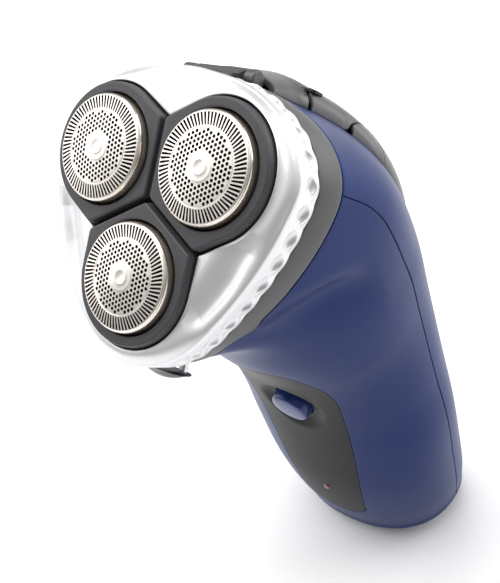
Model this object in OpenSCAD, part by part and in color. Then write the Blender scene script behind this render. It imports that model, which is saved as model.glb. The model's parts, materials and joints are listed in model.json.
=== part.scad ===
// Rotary electric shaver: three round cutting heads in a flip-open shaving unit
// on a contoured handle, with a pop-up trimmer on the back.
// Frame: +Z up along the handle, -Y is the front (power button), +X to the right.
// The origin lies on the base plane, under the middle of the overall footprint.
// Head parts are drawn in the face frame: local +Z is the outward normal of the
// shaving face, local +Y points to the hinge side.

/* [Overall] */
// Height of the centre of the shaving face above the base
face_z = 146; // [146:0.5:146.5]
// Position of the shaving face centre, front to back
face_y = -17.265; // [-17.4:0.005:-17.1]
// Tilt of the shaving face away from horizontal, in degrees
tilt = 43; // [42.5:0.5:43.5]

/* [Shaving head] */
// Distance from the face centre to each head centre
head_r = 15.17; // [15.1:0.01:15.3]
// Radius of the outer edge of the ring of slots
slot_r_out = 9.9; // [9.6:0.1:9.9]
// Radius of the inner edge of the ring of slots
slot_r_in = 7.6; // [7.4:0.1:7.8]
// Number of radial slots cut in each guard of the engineering model
slot_n = 30; // [18:6:36]
// Height of the slotted ring above the surround face
guard_h = 2.1; // [2:0.1:2.3]
// Outer radius of each dark surround around its head
carrier_r = 13.15; // [13:0.05:13.2]
// Gap between neighbouring surrounds
y_gap = 1; // [0.9:0.1:1.2]
// Length of the arms of the Y-shaped gap from the face centre
arm_l = 15.1; // [14.8:0.1:15.3]

/* [Drive] */
// Teeth on the motor pinion
pinion_t = 14; // [14:1:14]
// Teeth on each drive gear
gear_t = 46; // [46:1:46]
// Radius of each drive spindle
spindle_r = 1.6; // [1.5:0.05:1.6]
// Radius of the motor can
motor_r = 12; // [11:0.5:12]

/* [Housing] */
// Wall thickness of the two handle shells
wall = 1.8; // [1.6:0.1:2]
// Radius of the power button opening
button_r = 5.7; // [5.5:0.1:5.8]

/* [Hidden] */
$fn = 64;

ang = [150, 30, 270];                    // left, right, front head

// ---------- small vector helpers ----------
function lerp(a, b, t) = a + (b - a) * t;
function cl(v, lo, hi) = min(hi, max(lo, v));
// Catmull-Rom value of a list of control numbers at position u
function cr(L, u) = let(n = len(L) - 1, i = cl(floor(u), 0, n - 1), t = u - i,
    p0 = i > 0 ? L[i-1] : 2*L[0] - L[1], p1 = L[i], p2 = L[i+1],
    p3 = i < n - 1 ? L[i+2] : 2*L[n] - L[n-1])
  p1 + 0.5*t*(p2 - p0 + t*(2*p0 - 5*p1 + 4*p2 - p3 + t*(3*(p1 - p2) + p3 - p0)));
function sgn(v) = v < 0 ? -1 : 1;
function spow(v, p) = sgn(v) * pow(abs(v), p);

// face frame to row frame
function f2o(p) = [p[0], face_y + p[1]*cos(tilt) - p[2]*sin(tilt), face_z + p[1]*sin(tilt) + p[2]*cos(tilt)];
module face() translate([0, face_y, face_z]) rotate([tilt, 0, 0]) children();
module at_head(k) translate([head_r*cos(ang[k]), head_r*sin(ang[k]), 0]) children();

// ---------- handle loft ----------
// each section runs between a front point and a back point in the middle plane;
// section 0 is the sloping joint with the head collar, section 8 the last one above the base
FY = [-13, -1, 5.6, 11.6, 14.2, 14.6, 14.5, 16, 18.3];
FZ = [-33, -42, -56, -70, -85, -100, -115, -128, -138];
BY = [29, 42, 49.5, 52.3, 53.3, 53.2, 54, 55, 55.6];
BZ = [6.8, -10, -30, -52, -75, -95, -113, -128, -138];
HW = [31.9, 33, 31.4, 29.7, 29.4, 29.8, 28.7, 27.1, 25];
WF = [0.68, 0.66, 0.62, 0.58, 0.55, 0.55, 0.55, 0.55, 0.55];
base_f = 0.36;                           // size of the base opening against section 8
function bsc(s) = s <= 0 ? 1 : max(base_f, pow(max(0, 1 - pow(s, 2.6)), 1/2.2));
// point on the handle skin: u along the handle (0..8, base 8..9), a around it, off inwards
function S(u, a, off = 0) = let(v = min(u, 8), s = cl(u - 8, 0, 1),
    fy = cr(FY, v), fz = cr(FZ, v), by = cr(BY, v), bz = cr(BZ, v), w = cr(WF, v),
    L = norm([by - fy, bz - fz]), d = [(by - fy)/L, (bz - fz)/L],
    cy = fy + w*(by - fy), cz = fz + w*(bz - fz),
    q = cl(v/2.5, 0, 1), p = sin(a) > 0 ? lerp(2, 2.25, q) : lerp(1.55, 2.25, q),
    sc = bsc(s),
    o = off*(1 - s),
    x = (cr(HW, v)*sc - o)*spow(cos(a), 2/p),
    sv = spow(sin(a), 2/p),
    e = sv > 0 ? ((1 - w)*L*sc - o)*sv : (w*L*sc - o)*sv,
    zz = s > 0 ? cz - (8 - off)*s : cz)
  [x, face_y + cy + d[0]*e, face_z + zz + (s > 0 ? 0 : d[1]*e)];

// closed thick skin over a grid of outer points O and inner points I (rows x columns),
// keeping only the cells for which M[r][c] is 1; walls are added around every edge
function flat(L) = [for (a = L) for (b = a) b];
module skin(O, I, M) {
  R = len(O); C = len(O[0]); N = R*C;
  function m(r, c) = r < 0 || c < 0 || r > R - 2 || c > C - 2 ? 0 : M[r][c];
  used = [for (r = [0:R-1]) [for (c = [0:C-1]) (m(r,c) + m(r-1,c) + m(r,c-1) + m(r-1,c-1)) > 0 ? 1 : 0]];
  F = [for (r = [0:R-2]) for (c = [0:C-2]) if (M[r][c] > 0) each
      let(a = r*C + c, b = a + 1, d = a + C, e = d + 1) concat(
        [[a, b, e], [a, e, d], [N+a, N+e, N+b], [N+a, N+d, N+e]],
        m(r-1, c) ? [] : [[b, a, N+a], [b, N+a, N+b]],
        m(r+1, c) ? [] : [[d, e, N+e], [d, N+e, N+d]],
        m(r, c-1) ? [] : [[a, d, N+d], [a, N+d, N+a]],
        m(r, c+1) ? [] : [[e, b, N+b], [e, N+b, N+e]])];
  polyhedron(concat(flat(O), flat(I)), F, convexity = 6);
}
// closed ring skin: columns wrap around
module ring_skin(O, I) {
  R = len(O); C = len(O[0]); N = R*C;
  F = [for (r = [0:R-2]) for (c = [0:C-1]) each
      let(c2 = (c + 1) % C, a = r*C + c, b = r*C + c2, d = a + C, e = b + C) concat(
        [[a, b, e], [a, e, d], [N+a, N+e, N+b], [N+a, N+d, N+e]],
        r > 0 ? [] : [[b, a, N+a], [b, N+a, N+b]],
        r < R - 2 ? [] : [[d, e, N+e], [d, N+e, N+d]])];
  polyhedron(concat(flat(O), flat(I)), F, convexity = 6);
}

// ---------- outline of the shaving unit in the face frame ----------
// radius of the skirt edge every 15 degrees, from the hinge side (90) to the front (-90)
SK = [26.1, 26.4, 27.9, 29.7, 31.4, 31.9, 29.4, 27.7, 27.1, 27.8, 29.7, 31.5, 32.3];
function fold(a) = let(b = (a % 360 + 360) % 360) b <= 90 ? b : b <= 270 ? 180 - b : b - 360;
function r_skirt(a) = cr(SK, (90 - fold(a))/15);
// radius of the three-lobed opening with lobe radius R and notch depth L
function lobe(a, R, L) = let(d0 = ((a + 30) % 120 + 120) % 120 - 60, d = abs(d0),
    P = [L*cos(60), L*sin(60)], C = [head_r, 0], pc = norm(P - C),
    ta = atan2(P[1], P[0] - head_r) - acos(R/pc), T = [head_r + R*cos(ta), R*sin(ta)],
    td = atan2(T[1], T[0]))
  d <= td ? head_r*cos(d) + sqrt(R*R - pow(head_r*sin(d), 2))
  : let(e = P - T, q = [cos(d), sin(d)], t = (T[0]*e[1] - T[1]*e[0])/(q[0]*e[1] - q[1]*e[0])) t;
function pol(a, r, n) = [r*cos(a), r*sin(a), n];

// shaving unit frame: domed top, hollow groove, flared skirt
module shaving_unit_frame() {
  A = [for (i = [0:95]) i*3.75];
  // outer profile from the opening wall up, over the dome and down the skirt
  function ri(a) = lobe(a, carrier_r + 0.45, arm_l + 0.7);
  function rv(a) = max(r_skirt(a) - 4.6, ri(a) + 0.9);
  O = [for (k = [0:7]) [for (a = A) let(i = ri(a), v = rv(a), s = r_skirt(a))
      k == 0 ? pol(a, i, -4.2) : k == 1 ? pol(a, i, -1.5)
      : k == 2 ? pol(a, lerp(i, v, 0.45), -1.6) : k == 3 ? pol(a, lerp(i, v, 0.85), -2.9)
      : k == 4 ? pol(a, v, -3.8) : k == 5 ? pol(a, lerp(v, s, 0.5), -2.9)
      : k == 6 ? pol(a, s - 0.6, -3.1) : pol(a, s, -9.6)]];
  I = [for (k = [0:7]) [for (a = A) let(i = ri(a) + 1, v = max(rv(a) - 0.6, ri(a) + 1.2), s = r_skirt(a) - 1.2)
      k == 0 ? pol(a, i, -4.2) : k == 1 ? pol(a, i, -3.4)
      : k == 2 ? pol(a, lerp(i, v, 0.4), -3.4) : k == 3 ? pol(a, lerp(i, v, 0.8), -4.3)
      : k == 4 ? pol(a, v, -5.1) : k == 5 ? pol(a, lerp(v, s + 1.2, 0.45), -4.5)
      : k == 6 ? pol(a, s - 0.5, -4.8) : pol(a, s, -9.6)]];
  color("silver") face() {
    ring_skin(O, I);
    // hinge lug at the back: arm down from the skirt to an eye around the pin
    difference() {
      union() {
        translate([-6, 24.2, -10.6]) cube([12, 2.6, 4]);
        translate([-6, 24.6, -13.2]) cube([12, 2.4, 3]);
        translate([-6, 26.3, -13.9]) rotate([0, 90, 0]) cylinder(r = 1.9, h = 12);
      }
      translate([-7, 26.3, -13.9]) rotate([0, 90, 0]) cylinder(r = 1.06, h = 14);
    }
    // catch for the release button at the front
    translate([-4, -29.9, -12.6]) cube([8, 1.3, 8.2]);
  }
}

// ---------- heads ----------
module sector_2d(R, L, g) {
  P = [L*cos(60), L*sin(60)]; C = [head_r, 0]; pc = norm(P - C);
  ta = atan2(P[1], P[0] - head_r) - acos(R/pc);
  T = [head_r + R*cos(ta), R*sin(ta)];
  o = g/sin(60)/2;                        // keeps half the gap to each Y arm
  intersection() {
    union() {
      polygon([[0, 0], P, T, C, [T[0], -T[1]], [P[0], -P[1]]]);
      translate(C) circle(r = R);
    }
    polygon([[o, 0], [o + 40*cos(60), 40*sin(60)], [70, 0], [o + 40*cos(60), -40*sin(60)]]);
  }
}
module carrier(k) color("dimgray") face() rotate([0, 0, ang[k]]) difference() {
  union() {
    translate([0, 0, -1.1]) linear_extrude(1.1) sector_2d(carrier_r - 0.25, arm_l - 0.3, y_gap + 0.2);
    translate([0, 0, -4.6]) linear_extrude(3.5) sector_2d(carrier_r, arm_l, y_gap);
  }
  translate([head_r, 0, -6]) cylinder(r = 11, h = 8);
  translate([head_r, 0, -5]) cylinder(r = 11.8, h = 2.5);
}
module carrier_left() carrier(0);
module carrier_right() carrier(1);
module carrier_front() carrier(2);

// guard: thin dished cap with slots, hanging skirt and retaining flange
module guard(k) color("lightsteelblue") face() at_head(k) difference() {
  rotate_extrude() polygon([[0, 3], [2.6, 2.9], [3, 2.4], [7.4, guard_h], [9.9, guard_h], [10.3, guard_h - 0.35],
    [10.6, 0.6], [10.9, -0.2], [10.9, -2.6], [11.6, -2.6], [11.6, -3.2], [10.4, -3.2], [10.3, 0.5], [10, 1.5],
    [9.85, guard_h - 0.4], [7.3, guard_h - 0.4], [6.9, 1.4], [2.7, 1.5], [2.3, 2.1], [0, 2.2]]);
  for (i = [0:slot_n-1]) rotate([0, 0, i*360/slot_n])
    translate([slot_r_in, -0.2, 1.4]) cube([slot_r_out - slot_r_in - 0.1, 0.4, 1.4]);
}
module guard_left() guard(0);
module guard_right() guard(1);
module guard_front() guard(2);

// rotary cutter: hub with drive socket, web and raised blades under the slots
module cutter(k) color("gainsboro") face() at_head(k) {
  difference() {
    union() {
      translate([0, 0, -2.4]) cylinder(r = 9.3, h = 0.8);
      translate([0, 0, -6.2]) cylinder(r = 3, h = 6.6);
    }
    translate([0, 0, -6.5]) cylinder(r = 2.05, h = 3.3);
    translate([-0.5, -2.6, -6.5]) cube([1, 5.2, 3.3]);
    for (i = [0:5]) rotate([0, 0, i*60 + 30]) translate([5.9, 0, -3]) cylinder(r = 1.5, h = 2);
  }
  for (i = [0:8]) rotate([0, 0, i*40]) translate([7.7, -0.25, -1.8]) cube([1.9, 0.5, 3.4]);
}
module cutter_left() cutter(0);
module cutter_right() cutter(1);
module cutter_front() cutter(2);

module retaining_frame() color("darkgray") face() translate([0, 0, -6.8]) linear_extrude(1.2) difference() {
  union() {
    for (a = ang) rotate(a) translate([head_r, 0]) circle(r = 11.3);
    circle(r = 7);
    for (a = [90, 210, 330]) rotate(a) translate([5, -2.5]) square([16.5, 5]);
  }
  for (a = ang) rotate(a) translate([head_r, 0]) circle(r = 7.9);
  circle(r = 1.6);
}
module locking_wheel() color("gray") face() {
  translate([0, 0, -9.2]) cylinder(r = 5, h = 2.3);
  translate([0, 0, -7]) cylinder(r = 1.54, h = 1.3);
  translate([-5.6, -0.6, -10.1]) cube([11.2, 1.2, 1.4]);
}

// ---------- head collar, chin and deck ----------
// lower edge of the collar on the handle skin: a little lower round the front, as a chin
function uc(a) = 0.03 + 0.15*cl((46 - abs((a % 360 + 360) % 360 - 270))/7, 0, 1);
module head_collar() {
  n = 96;
  A = [for (i = [0:n-1]) i*360/n];
  // top edge under the skirt, matched by polar angle to the lower edge
  function top(a, off) = let(p = S(0.03, a), q = [p[0], (p[1]-face_y)*cos(tilt) + (p[2]-face_z)*sin(tilt)],
      t = atan2(q[1], q[0]), r = r_skirt(t) - 0.5 - off) f2o([r*cos(t), r*sin(t), -9.9]);
  O = [[for (a = A) top(a, 0)], [for (a = A) S(uc(a), a)]];
  I = [[for (a = A) top(a, 1.6)], [for (a = A) S(uc(a), a, 1.6)]];
  color("gray") {
    difference() {
      ring_skin(O, I);
      face() translate([-6.4, 22, -17]) cube([12.8, 8, 8.5]);
      face() translate([-8.9, -37, -19]) cube([17.8, 10, 8.1]);
      face() translate([-4.6, -31, -12]) cube([9.2, 4, 3.4]);
    }
    // hinge ears at the back
    face() for (s = [-1, 1]) difference() {
      union() {
        translate([s*7.9 - 1.3, 22.6, -15.7]) cube([2.6, 4.6, 3]);
        translate([s*7.9 - 1.3, 26.3, -13.9]) rotate([0, 90, 0]) cylinder(r = 1.9, h = 2.6);
      }
      translate([s*7.9 - 4, 26.3, -13.9]) rotate([0, 90, 0]) cylinder(r = 1, h = 8);
    }
  }
}
module hinge_pin() color("silver") face() translate([-9, 26.3, -13.9]) rotate([0, 90, 0]) cylinder(r = 1, h = 18);

module deck_2d(R) { for (a = ang) rotate(a) translate([head_r, 0]) circle(r = R); circle(r = 16); }
module drive_deck() color("slategray") face() difference() {
  union() {
    translate([0, 0, -12.6]) linear_extrude(1.4) deck_2d(11.2);
    for (k = [0:2]) at_head(k) translate([0, 0, -15.5]) cylinder(r = 3.4, h = 5);
    for (a = [90, 210, 330]) rotate([0, 0, a]) translate([19.5, 0, -21.8]) cylinder(r = 2.2, h = 9.4);
    // seats for the two release springs
    for (s = [-1, 1]) translate([s*5.6 - 1.2, -28.4, -15.8]) { cube([2.4, 1.2, 4.6]); translate([0, 0, 3.2]) cube([2.4, 4, 1.4]); }
  }
  for (k = [0:2]) at_head(k) {
    translate([0, 0, -16]) cylinder(r = spindle_r + 0.06, h = 8);
    translate([0, 0, -11.6]) cylinder(r = 2.9, h = 2);
  }
  for (a = [90, 210, 330]) rotate([0, 0, a]) translate([19.5, 0, -22]) cylinder(r = 0.9, h = 7);
}
module spindle_seals() color("dimgray") face() for (k = [0:2]) at_head(k) difference() {
  translate([0, 0, -11.55]) cylinder(r = 2.85, h = 0.9);
  translate([0, 0, -12]) cylinder(r = spindle_r + 0.08, h = 2);
}
module release_button() color("black") face() {
  difference() {
    translate([0, 0, -17.6]) intersection() {
      translate([0, -20.6, 0]) cylinder(r = 14, h = 6.6);
      translate([-8.7, -36.2, 0]) cube([17.4, 4.8, 6.6]);
    }
    translate([-6.6, -33, -16.4]) cube([13.2, 2.8, 4.2]);
  }
  translate([-3, -33.4, -13.8]) cube([6, 2.4, 1.6]);
}
module release_spring() color("silver") face() for (s = [-1, 1]) translate([s*5.6, -28.5, -14.6]) rotate([90, 0, 0])
  difference() { cylinder(r = 0.9, h = 3.7, $fn = 24); translate([0, 0, -1]) cylinder(r = 0.5, h = 8, $fn = 24); }

// ---------- drive ----------
mod = 2*head_r/(pinion_t + gear_t);
// straight-flanked spur gear outline, z teeth, phase p degrees
module gear_2d(z, p) {
  r = mod*z/2; w = 360/z;
  polygon([for (i = [0:z-1]) each [for (q = [[-0.34, -1.2], [-0.2, -0.1], [-0.1, 0.85], [0.1, 0.85], [0.2, -0.1], [0.34, -1.2]])
    let(a = p + (i + q[0])*w, R = r + q[1]*mod) [R*cos(a), R*sin(a)]]]);
}
function gphase(k) = ang[k] + 180 + ang[k]*pinion_t/gear_t + 180/gear_t;
module drive_gear(k) color("ivory") face() at_head(k) difference() {
  union() {
    translate([0, 0, -19.6]) linear_extrude(2.4) gear_2d(gear_t, gphase(k));
    translate([0, 0, -20.8]) cylinder(r = 3, h = 4.6);
  }
  translate([0, 0, -22]) cylinder(r = spindle_r + 0.02, h = 8);
}
module drive_gear_left() drive_gear(0);
module drive_gear_right() drive_gear(1);
module drive_gear_front() drive_gear(2);
module drive_spindle(k) color("lightgray") face() at_head(k) {
  translate([0, 0, -23.4]) cylinder(r = spindle_r, h = 18);
  translate([-0.35, -2.2, -8]) cube([0.7, 4.4, 2.6]);
}
module drive_spindle_left() drive_spindle(0);
module drive_spindle_right() drive_spindle(1);
module drive_spindle_front() drive_spindle(2);

module motor_shaft() color("silver") face() translate([0, 0, -49]) cylinder(r = 1, h = 32.2);
module motor_pinion() color("goldenrod") face() difference() {
  translate([0, 0, -20]) linear_extrude(3.2) gear_2d(pinion_t, 0);
  translate([0, 0, -21]) cylinder(r = 1, h = 5);
}
module motor_can() color("lightgray") face() difference() {
  union() {
    translate([0, 0, -46]) cylinder(r = motor_r, h = 21.6);
    translate([0, 0, -24.5]) cylinder(r = 3.4, h = 1.3);
  }
  translate([0, 0, -47]) cylinder(r = motor_r - 1, h = 21.6);
  translate([0, 0, -30]) cylinder(r = 1.06, h = 8);
}
module motor_endbell() color("white") face() difference() {
  translate([0, 0, -48]) cylinder(r = motor_r - 1.05, h = 4);
  translate([0, 0, -50]) cylinder(r = 1.06, h = 8);
}
module gear_plate() color("gray") face() difference() {
  translate([0, 0, -23.2]) linear_extrude(1.4) { deck_2d(5.4); for (a = [90, 210, 330]) rotate(a) translate([19.5, 0]) circle(r = 3.4); }
  translate([0, 0, -25]) cylinder(r = 3.45, h = 4);
  for (k = [0:2]) at_head(k) translate([0, 0, -25]) cylinder(r = spindle_r + 0.06, h = 4);
  for (a = [90, 210, 330]) rotate([0, 0, a]) translate([19.5, 0, -25]) cylinder(r = 1.05, h = 4);
}
module deck_screws() color("silver") face() for (a = [90, 210, 330]) rotate([0, 0, a]) translate([19.5, 0, 0]) {
  translate([0, 0, -24.4]) cylinder(r = 1.9, h = 1.2);
  translate([0, 0, -23.3]) cylinder(r = 0.85, h = 6.6);
}

// ---------- handle shells ----------
// panel window: half angle of the dark front panel at each section, arched top and bottom ends
PA = [27.7, 27.7, 27.7, 27.9, 25.2, 22.6, 20.4, 18, 18];
function pan_a(u) = cr(PA, u);
function pu_top(t) = 1.95 + 1.25*pow(abs(t), 4);
function pu_bot(t) = 7.25 - 0.4*pow(abs(t), 2.5);
// columns for the front shell: 9 strips from the seam to the panel, 10 across it, 9 back to the seam
fcols = 28;
function fT(c) = cl((c - 14)/5, -1, 1);
function fang(u, c) = let(h = pan_a(cl(u, 0, 8)))
   c <= 9 ? lerp(180.2, 270 - h, c/9) : c < 19 ? 270 + fT(c)*h : lerp(270 + h, 359.8, (c - 19)/9);
frows = 32;
// rows: from the head joint to the panel top, along the panel, and round the base
function urow(r, c) = let(u0 = uc(fang(0.3, c)) + 0.03, ut = pu_top(fT(c)), ub = pu_bot(fT(c)))
   r <= 6 ? lerp(u0, ut, r/6) : r <= 24 ? lerp(ut, ub, (r - 6)/18)
   : r <= 27 ? lerp(ub, 8, (r - 24)/3) : 8 + pow((r - 27)/5, 0.8);
function fpt(r, c, off) = let(u = urow(r, c)) S(u, fang(u, c), off);
module front_shell() {
  O = [for (r = [0:frows]) [for (c = [0:fcols]) fpt(r, c, 0)]];
  I = [for (r = [0:frows]) [for (c = [0:fcols]) fpt(r, c, wall)]];
  M = [for (r = [0:frows-1]) [for (c = [0:fcols-1]) r >= 6 && r < 24 && c >= 9 && c < 19 ? 0 : 1]];
  color("steelblue") skin(O, I, M);
}
// front panel fills the window, with the button opening and the light window
btn = [face_y + 13.1, face_z - 79.4];    // button centre on the front skin, y and z
btn_t = 9;                               // the button axis leans this far below level
module panel_skin(g, off, th) {
  function pp(r, c, o) = let(t = lerp(-1, 1, c/10), u = lerp(pu_top(t) + g, pu_bot(t) - g, r/18)) S(u, 270 + t*(1 - g)*pan_a(u), o);
  O = [for (r = [0:18]) [for (c = [0:10]) pp(r, c, off)]];
  I = [for (r = [0:18]) [for (c = [0:10]) pp(r, c, off + th)]];
  skin(O, I, [for (r = [0:17]) [for (c = [0:9]) 1]]);
}
led_p = [face_y + 14.5, face_z - 117.4];
module btn_axis() translate([0, btn[0], btn[1]]) rotate([90 + btn_t, 0, 0]) children();
module led_axis() translate([0, led_p[0], led_p[1]]) rotate([90, 0, 0]) children();
module front_panel() color("dimgray") difference() {
  panel_skin(0.02, 0.1, 1.7);
  btn_axis() translate([0, 0, -6]) cylinder(r = button_r, h = 12);
  led_axis() translate([0, 0, -6]) cylinder(r = 1.25, h = 12);
}
module power_button() color("navy") btn_axis() {
  translate([0, 0, -5.6]) cylinder(r = button_r - 0.25, h = 6.5);
  translate([0, 0, -5.8]) cylinder(r = button_r + 1, h = 1);
  translate([0, 0, -7.4]) cylinder(r = 1.6, h = 2);
}
module button_spring() color("silver") btn_axis() translate([0, 0, -8.6]) difference() {
  cylinder(r = 3.2, h = 2); translate([0, 0, -1]) cylinder(r = 2.5, h = 5);
}
module tact_switch() color("black") btn_axis() {
  translate([0, 0, -11.2]) linear_extrude(2.4) square(6, center = true);
  translate([0, 0, -9]) cylinder(r = 1.5, h = 0.75);
}
pcb_y = face_y + 24.7;                   // front face of the circuit board
module circuit_board() color("darkgreen") difference() {
  translate([-16, pcb_y, 22]) cube([32, 1.6, 52]);
  for (p = [[-13, 25], [13, 25], [-13, 71], [13, 71]]) translate([p[0], pcb_y - 1, p[1]]) rotate([-90, 0, 0]) cylinder(r = 1.1, h = 4);
}
module board_screws() color("silver") for (p = [[-13, 25], [13, 25], [-13, 71], [13, 71]]) translate([p[0], pcb_y, p[1]]) rotate([90, 0, 0]) {
  cylinder(r = 2, h = 1.2);
  translate([0, 0, -5.4]) cylinder(r = 1, h = 5.5);
}
module charge_led() color("red") led_axis() translate([0, 0, -9.9]) { cylinder(r = 1.5, h = 3.2); translate([0, 0, 3]) cylinder(r = 1.2, h = 1); }
module led_lens() color("crimson") led_axis() { translate([0, 0, -3.4]) cylinder(r = 1.15, h = 3.6); translate([0, 0, -5.4]) cylinder(r = 2, h = 2); }
// chassis: internal carrier for the board and the cells
module chassis() color("lightgray") difference() {
  union() {
    translate([-18, pcb_y + 3.2, 16]) cube([36, 1.6, 62]);
    for (s = [-1, 1]) translate([s*18 - 0.8, pcb_y + 3.2, 16]) cube([1.6, 14, 62]);
    translate([-18, pcb_y + 3.2, 14.4]) cube([36, 14, 1.6]);
    for (p = [[-13, 25], [13, 25], [-13, 71], [13, 71]]) translate([p[0], pcb_y + 1.6, p[1]]) rotate([-90, 0, 0]) cylinder(r = 2.2, h = 2);
  }
  for (p = [[-13, 25], [13, 25], [-13, 71], [13, 71]]) translate([p[0], pcb_y + 1, p[1]]) rotate([-90, 0, 0]) cylinder(r = 1.02, h = 4.6);
}
module battery_cells() color("mediumseagreen") for (s = [-1, 1]) translate([s*7.8, pcb_y + 12.6, 20]) {
  cylinder(r = 7.25, h = 49);
  translate([0, 0, 49]) cylinder(r = 2.8, h = 1.2);
}
module battery_tabs() color("silver") {
  translate([-12, pcb_y + 10.6, 19.4]) cube([24, 4, 0.5]);
  for (s = [-1, 1]) translate([s*7.8 - 3, pcb_y + 10.6, 70.3]) cube([6, 4, 0.5]);
}
// base socket: plug-shaped insert with a recess and two pins
hy = face_y + lerp(18.3, 55.6, 0.55);    // middle of the handle at the base
function ell(a, rx, ry) = [rx*cos(a), ry*sin(a)];
module oval(rx, ry, h) linear_extrude(h) polygon([for (i = [0:39]) ell(i*9, rx, ry)]);
module charging_socket() color("black") translate([0, hy, 0]) difference() {
  union() { oval(8.7, 5.8, 9.5); translate([0, 0, 2.5]) oval(10, 6.4, 2); }
  translate([-2.1, 0, -1]) cylinder(r = 3.3, h = 8);
  translate([2.1, 0, -1]) cylinder(r = 3.3, h = 8);
  translate([-2.1, -3.3, -1]) cube([4.2, 6.6, 8]);
  for (s = [-1, 1]) translate([s*2.1, 0, 5]) cylinder(r = 0.5, h = 6);
}
module contact_pins() color("gold") for (s = [-1, 1]) translate([s*2.1, hy, 1.4]) { cylinder(r = 0.8, h = 5.6); cylinder(r = 0.5, h = 10.6); }
module shell_screws() color("silver") for (s = [-1, 1]) translate([s*20.5, hy - 9, 40]) rotate([-90, 0, 0]) {
  cylinder(r = 1.2, h = 14); translate([0, 0, 14]) cylinder(r = 2.2, h = 1.6);
}

// rear shell with a window for the trimmer, open to the collar
WA = [67, 66, 55.5, 40, 34, 34, 38, 45, 54];
function wa(u) = cr(WA, cl((u - 0.2)/0.3, 0, 8));
function wu_bot(t) = 2.6 + 0.6*(1 - t*t);
rcols = 28; rrows = 33;
function rT(c) = cl((c - 14)/5, -1, 1);
function rang(u, c) = let(h = wa(u)) c <= 9 ? lerp(0.2, h, c/9) : c < 19 ? lerp(h, 180 - h, (c - 9)/10) : lerp(180 - h, 179.8, (c - 19)/9);
function rrow(r, c) = r <= 12 ? lerp(0.06, wu_bot(rT(c)), r/12) : r <= 28 ? lerp(wu_bot(rT(c)), 8, (r - 12)/16) : 8 + pow((r - 28)/5, 0.8);
module rear_shell() {
  O = [for (r = [0:rrows]) [for (c = [0:rcols]) let(u = rrow(r, c)) S(u, rang(u, c), 0)]];
  I = [for (r = [0:rrows]) [for (c = [0:rcols]) let(u = rrow(r, c)) S(u, rang(u, c), wall)]];
  M = [for (r = [0:rrows-1]) [for (c = [0:rcols-1]) r < 12 && c >= 9 && c < 19 ? 0 : 1]];
  color("cornflowerblue") skin(O, I, M);
}

// ---------- trimmer ----------
// patches that fill the window; raised above the skin, most in the middle.
// t runs across the window from -1 to 1
out = [0.86, 0.5];                       // outward direction at the upper back, y and z
function th(u, t) = 90 - t*(90 - wa(u) - 1.2);
function tp(u, t, up) = let(p = S(u, th(u, t), 0), h = up*pow(max(0, 1 - t*t), 0.4)) [p[0], p[1] + h*out[0], p[2] + h*out[1]];
function tq(u, t, off) = let(p = S(u, th(u, t), 0)) [p[0]*(1 - off*0.045), p[1] - off*out[0], p[2] - off*out[1]];
module patch(u0, u1, up0, up1, off, R, C = 14) {
  O = [for (r = [0:R]) [for (c = [0:C]) let(t = sin(lerp(-90, 90, c/C)), u = lerp(u0, u1 > 2.5 ? wu_bot(t) - 0.03 : u1, r/R)) tp(u, t, lerp(up0, up1, r/R))]];
  I = [for (r = [0:R]) [for (c = [0:C]) let(t = sin(lerp(-90, 90, c/C)), u = lerp(u0, u1 > 2.5 ? wu_bot(t) - 0.03 : u1, r/R)) tq(u, t, off)]];
  skin(I, O, [for (r = [0:R-1]) [for (c = [0:C-1]) 1]]);
}
t_a = 0.56; t_b = 1.13;                  // ends of the flap along the handle
flap_w = 19.6;                           // half width of the flap
hin = [face_y + 45.7, face_z - 11.25];    // trimmer hinge, y and z
module barrel(x0, x1, r) translate([x0, hin[0], hin[1]]) rotate([0, 90, 0]) cylinder(r = r, h = x1 - x0);
module hinge_cover() color("darkgray") patch(0.07, 0.44, 3.4, 5.4, 1.6, 3);
module trimmer_housing() color("gray") difference() {
  union() {
    patch(t_b + 0.05, 3, 4.6, 0.2, 1.8, 10);
    // side rails beside the flap
    difference() {
      patch(t_a, t_b + 0.15, 5.6, 4.7, 1.8, 6);
      translate([-flap_w - 0.3, -60, 60]) cube([2*flap_w + 0.6, 200, 150]);
    }
    for (s = [-1, 1]) hull() {
      translate([s*11.2 - 1.6, hin[0], hin[1]]) rotate([0, 90, 0]) cylinder(r = 1.9, h = 3.2, $fn = 32);
      translate([s*11.2 - 1.6, hin[0] - 1.4, hin[1] - 5]) cube([3.2, 2, 2]);
    }
  }
  barrel(-9.5, 9.5, 2.5);
  barrel(-14, 14, 1);
  sw_at() translate([-4.3, -1.2, -6.4]) cube([8.6, 6, 10.8]);
}
// slot for the comb and blade, in the free end of the flap
ce = S(t_a, 90);
cd = S(t_a - 0.12, 90);
cdir = [cd[1] - ce[1], cd[2] - ce[2]]/norm([cd[1] - ce[1], cd[2] - ce[2]]);
module at_comb(up) translate([0, ce[1] + up*out[0], ce[2] + up*out[1]]) rotate([-asin(cdir[0]), 0, 0]) children();
module trimmer_arm() color("darkgray") difference() {
  union() {
    intersection() {
      patch(t_a, t_b, 5.6, 4.8, 1.2, 5);
      translate([-flap_w, -60, 60]) cube([2*flap_w, 200, 150]);
    }
    barrel(-9.2, 8.2, 1.9);
  }
  barrel(-15, 15, 1.06);
  for (s = [-1, 1]) barrel(s*11.2 - 2, s*11.2 + 2, 2.3);
  barrel(8.2, 9.4, 2.2);
  at_comb(2.2) translate([-13.4, -0.72, -3.2]) cube([26.8, 1.4, 8]);
}
module trimmer_pin() color("silver") barrel(-12.8, 12.8, 1);
module trimmer_spring() color("silver") difference() { barrel(8.3, 9.1, 1.8); barrel(8, 10, 1.2); }
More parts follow.
